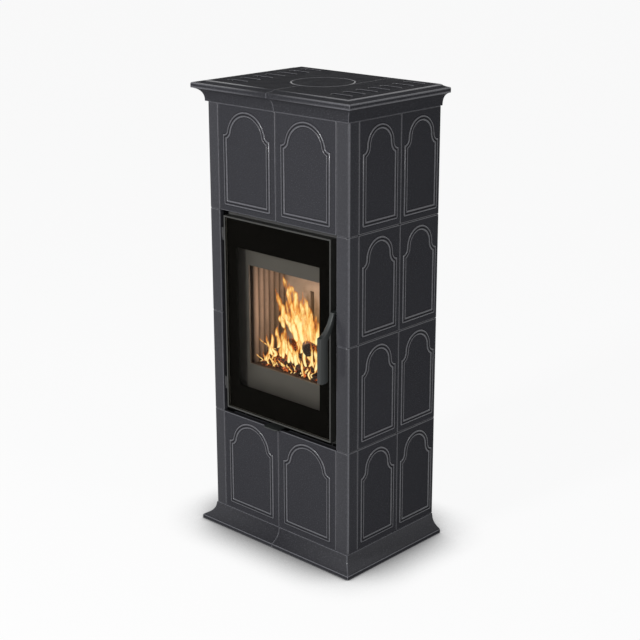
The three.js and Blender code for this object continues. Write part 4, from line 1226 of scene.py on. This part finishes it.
def slot_tool(x, y):
    """A round-ended cutter for one warm-air slot."""
    radius, reach = SLOT_WIDTH / 2, (SLOT_LENGTH - SLOT_WIDTH) / 2
    half_turn = np.radians(np.arange(-90, 91, 15))
    loop = arc(x + reach, y, radius, half_turn) + arc(x - reach, y, radius, half_turn + math.pi)
    form = Form()
    form.shut([form.ring([(u, v, z) for u, v in loop]) for z in (CROWN_TOP - 2 * SLAB, CROWN_TOP + SLAB)])
    return form.piece("slot_tool", glaze)


def cover_tool():
    """The stepped round hole that takes the cover."""
    form = Form()
    narrow = COVER_RADIUS - COVER_LEDGE
    turned(form, [
        (narrow, CROWN_TOP - 2 * SLAB, 0),
        (narrow, CROWN_TOP - COVER_RIM, 0),
        (COVER_RADIUS, CROWN_TOP - COVER_RIM, 0),
        (COVER_RADIUS, CROWN_TOP + SLAB, 0),
    ], 0, DEPTH / 2, 96)
    return form.piece("cover_tool", glaze)


slot_step = (LAST_SLOT - FIRST_SLOT) / (SLOTS - 1)
gap, under, over = JOINT / 2, TILES_TOP - SLAB, CROWN_TOP + SLAB
for side, sign in SIDES:
    crown = course("crown_course_" + side, [(o, TILES_TOP + z, mark) for o, z, mark in crown_levels])
    if side == "left":
        fore, aft, fore_end, aft_start = (-gap, FAR), (REAR_SEAM - gap, FAR), FLUE_Y, FLUE_Y - 1
    else:
        fore, aft, fore_end, aft_start = (-FAR, gap), (-FAR, REAR_SEAM + gap), FLUE_Y + 1, FLUE_Y
    tools = [
        block("hollow", -INNER, INNER, WALL, DEPTH - WALL, under, CROWN_TOP - SLAB, glaze),
        block("fore_half", *fore, -DEPTH, fore_end, under, over, glaze),
        block("aft_half", *aft, aft_start, 2 * DEPTH, under, over, glaze),
        cover_tool(),
    ]
    tools += [slot_tool(sign * SLOT_X, FIRST_SLOT + slot_step * number) for number in range(SLOTS)]
    carve(crown, *tools)
    # Painted shade: every top point that is not marked pale gets the darker top mark.
    for point, known in zip(crown.data.vertices, crown.data.attributes["thin_glaze"].data):
        if point.co.z > (CROWN_TOP - 0.1) / 1000 and known.value <= 0.0:
            known.value = PAINTED_TOP_SHADE
    soften(crown, 1.0, 50.0)
    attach(crown, "stove_body")
    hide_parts("crown_" + side)

# The round lid: a pale rounded rim, thin glaze with a painted highlight, and painted shade on its top.
form = Form()
outer, boss = COVER_RADIUS - 0.5, COVER_RADIUS - COVER_LEDGE - 0.5
rim_low = CROWN_TOP - COVER_RIM + 0.3
turned(form, [
    (boss - 1.5, CROWN_TOP - SLAB, 0), (boss, CROWN_TOP - SLAB + 1.5, 0), (boss, rim_low, 0),
    (outer - 1, rim_low, 0), (outer, rim_low + 1, 0), (outer, CROWN_TOP - 2.6, 0.2),
    (outer - 0.4, CROWN_TOP - 1.2, 1.0),
    (outer - 1.3, CROWN_TOP - 0.35, 1.0), (outer - 2.6, CROWN_TOP, 0.3), (outer - 4, CROWN_TOP, PAINTED_TOP_SHADE),
], 0, DEPTH / 2, 96)
cover = form.piece("round_lid", glaze)
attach(cover, "top_cover")
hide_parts("round_cover")
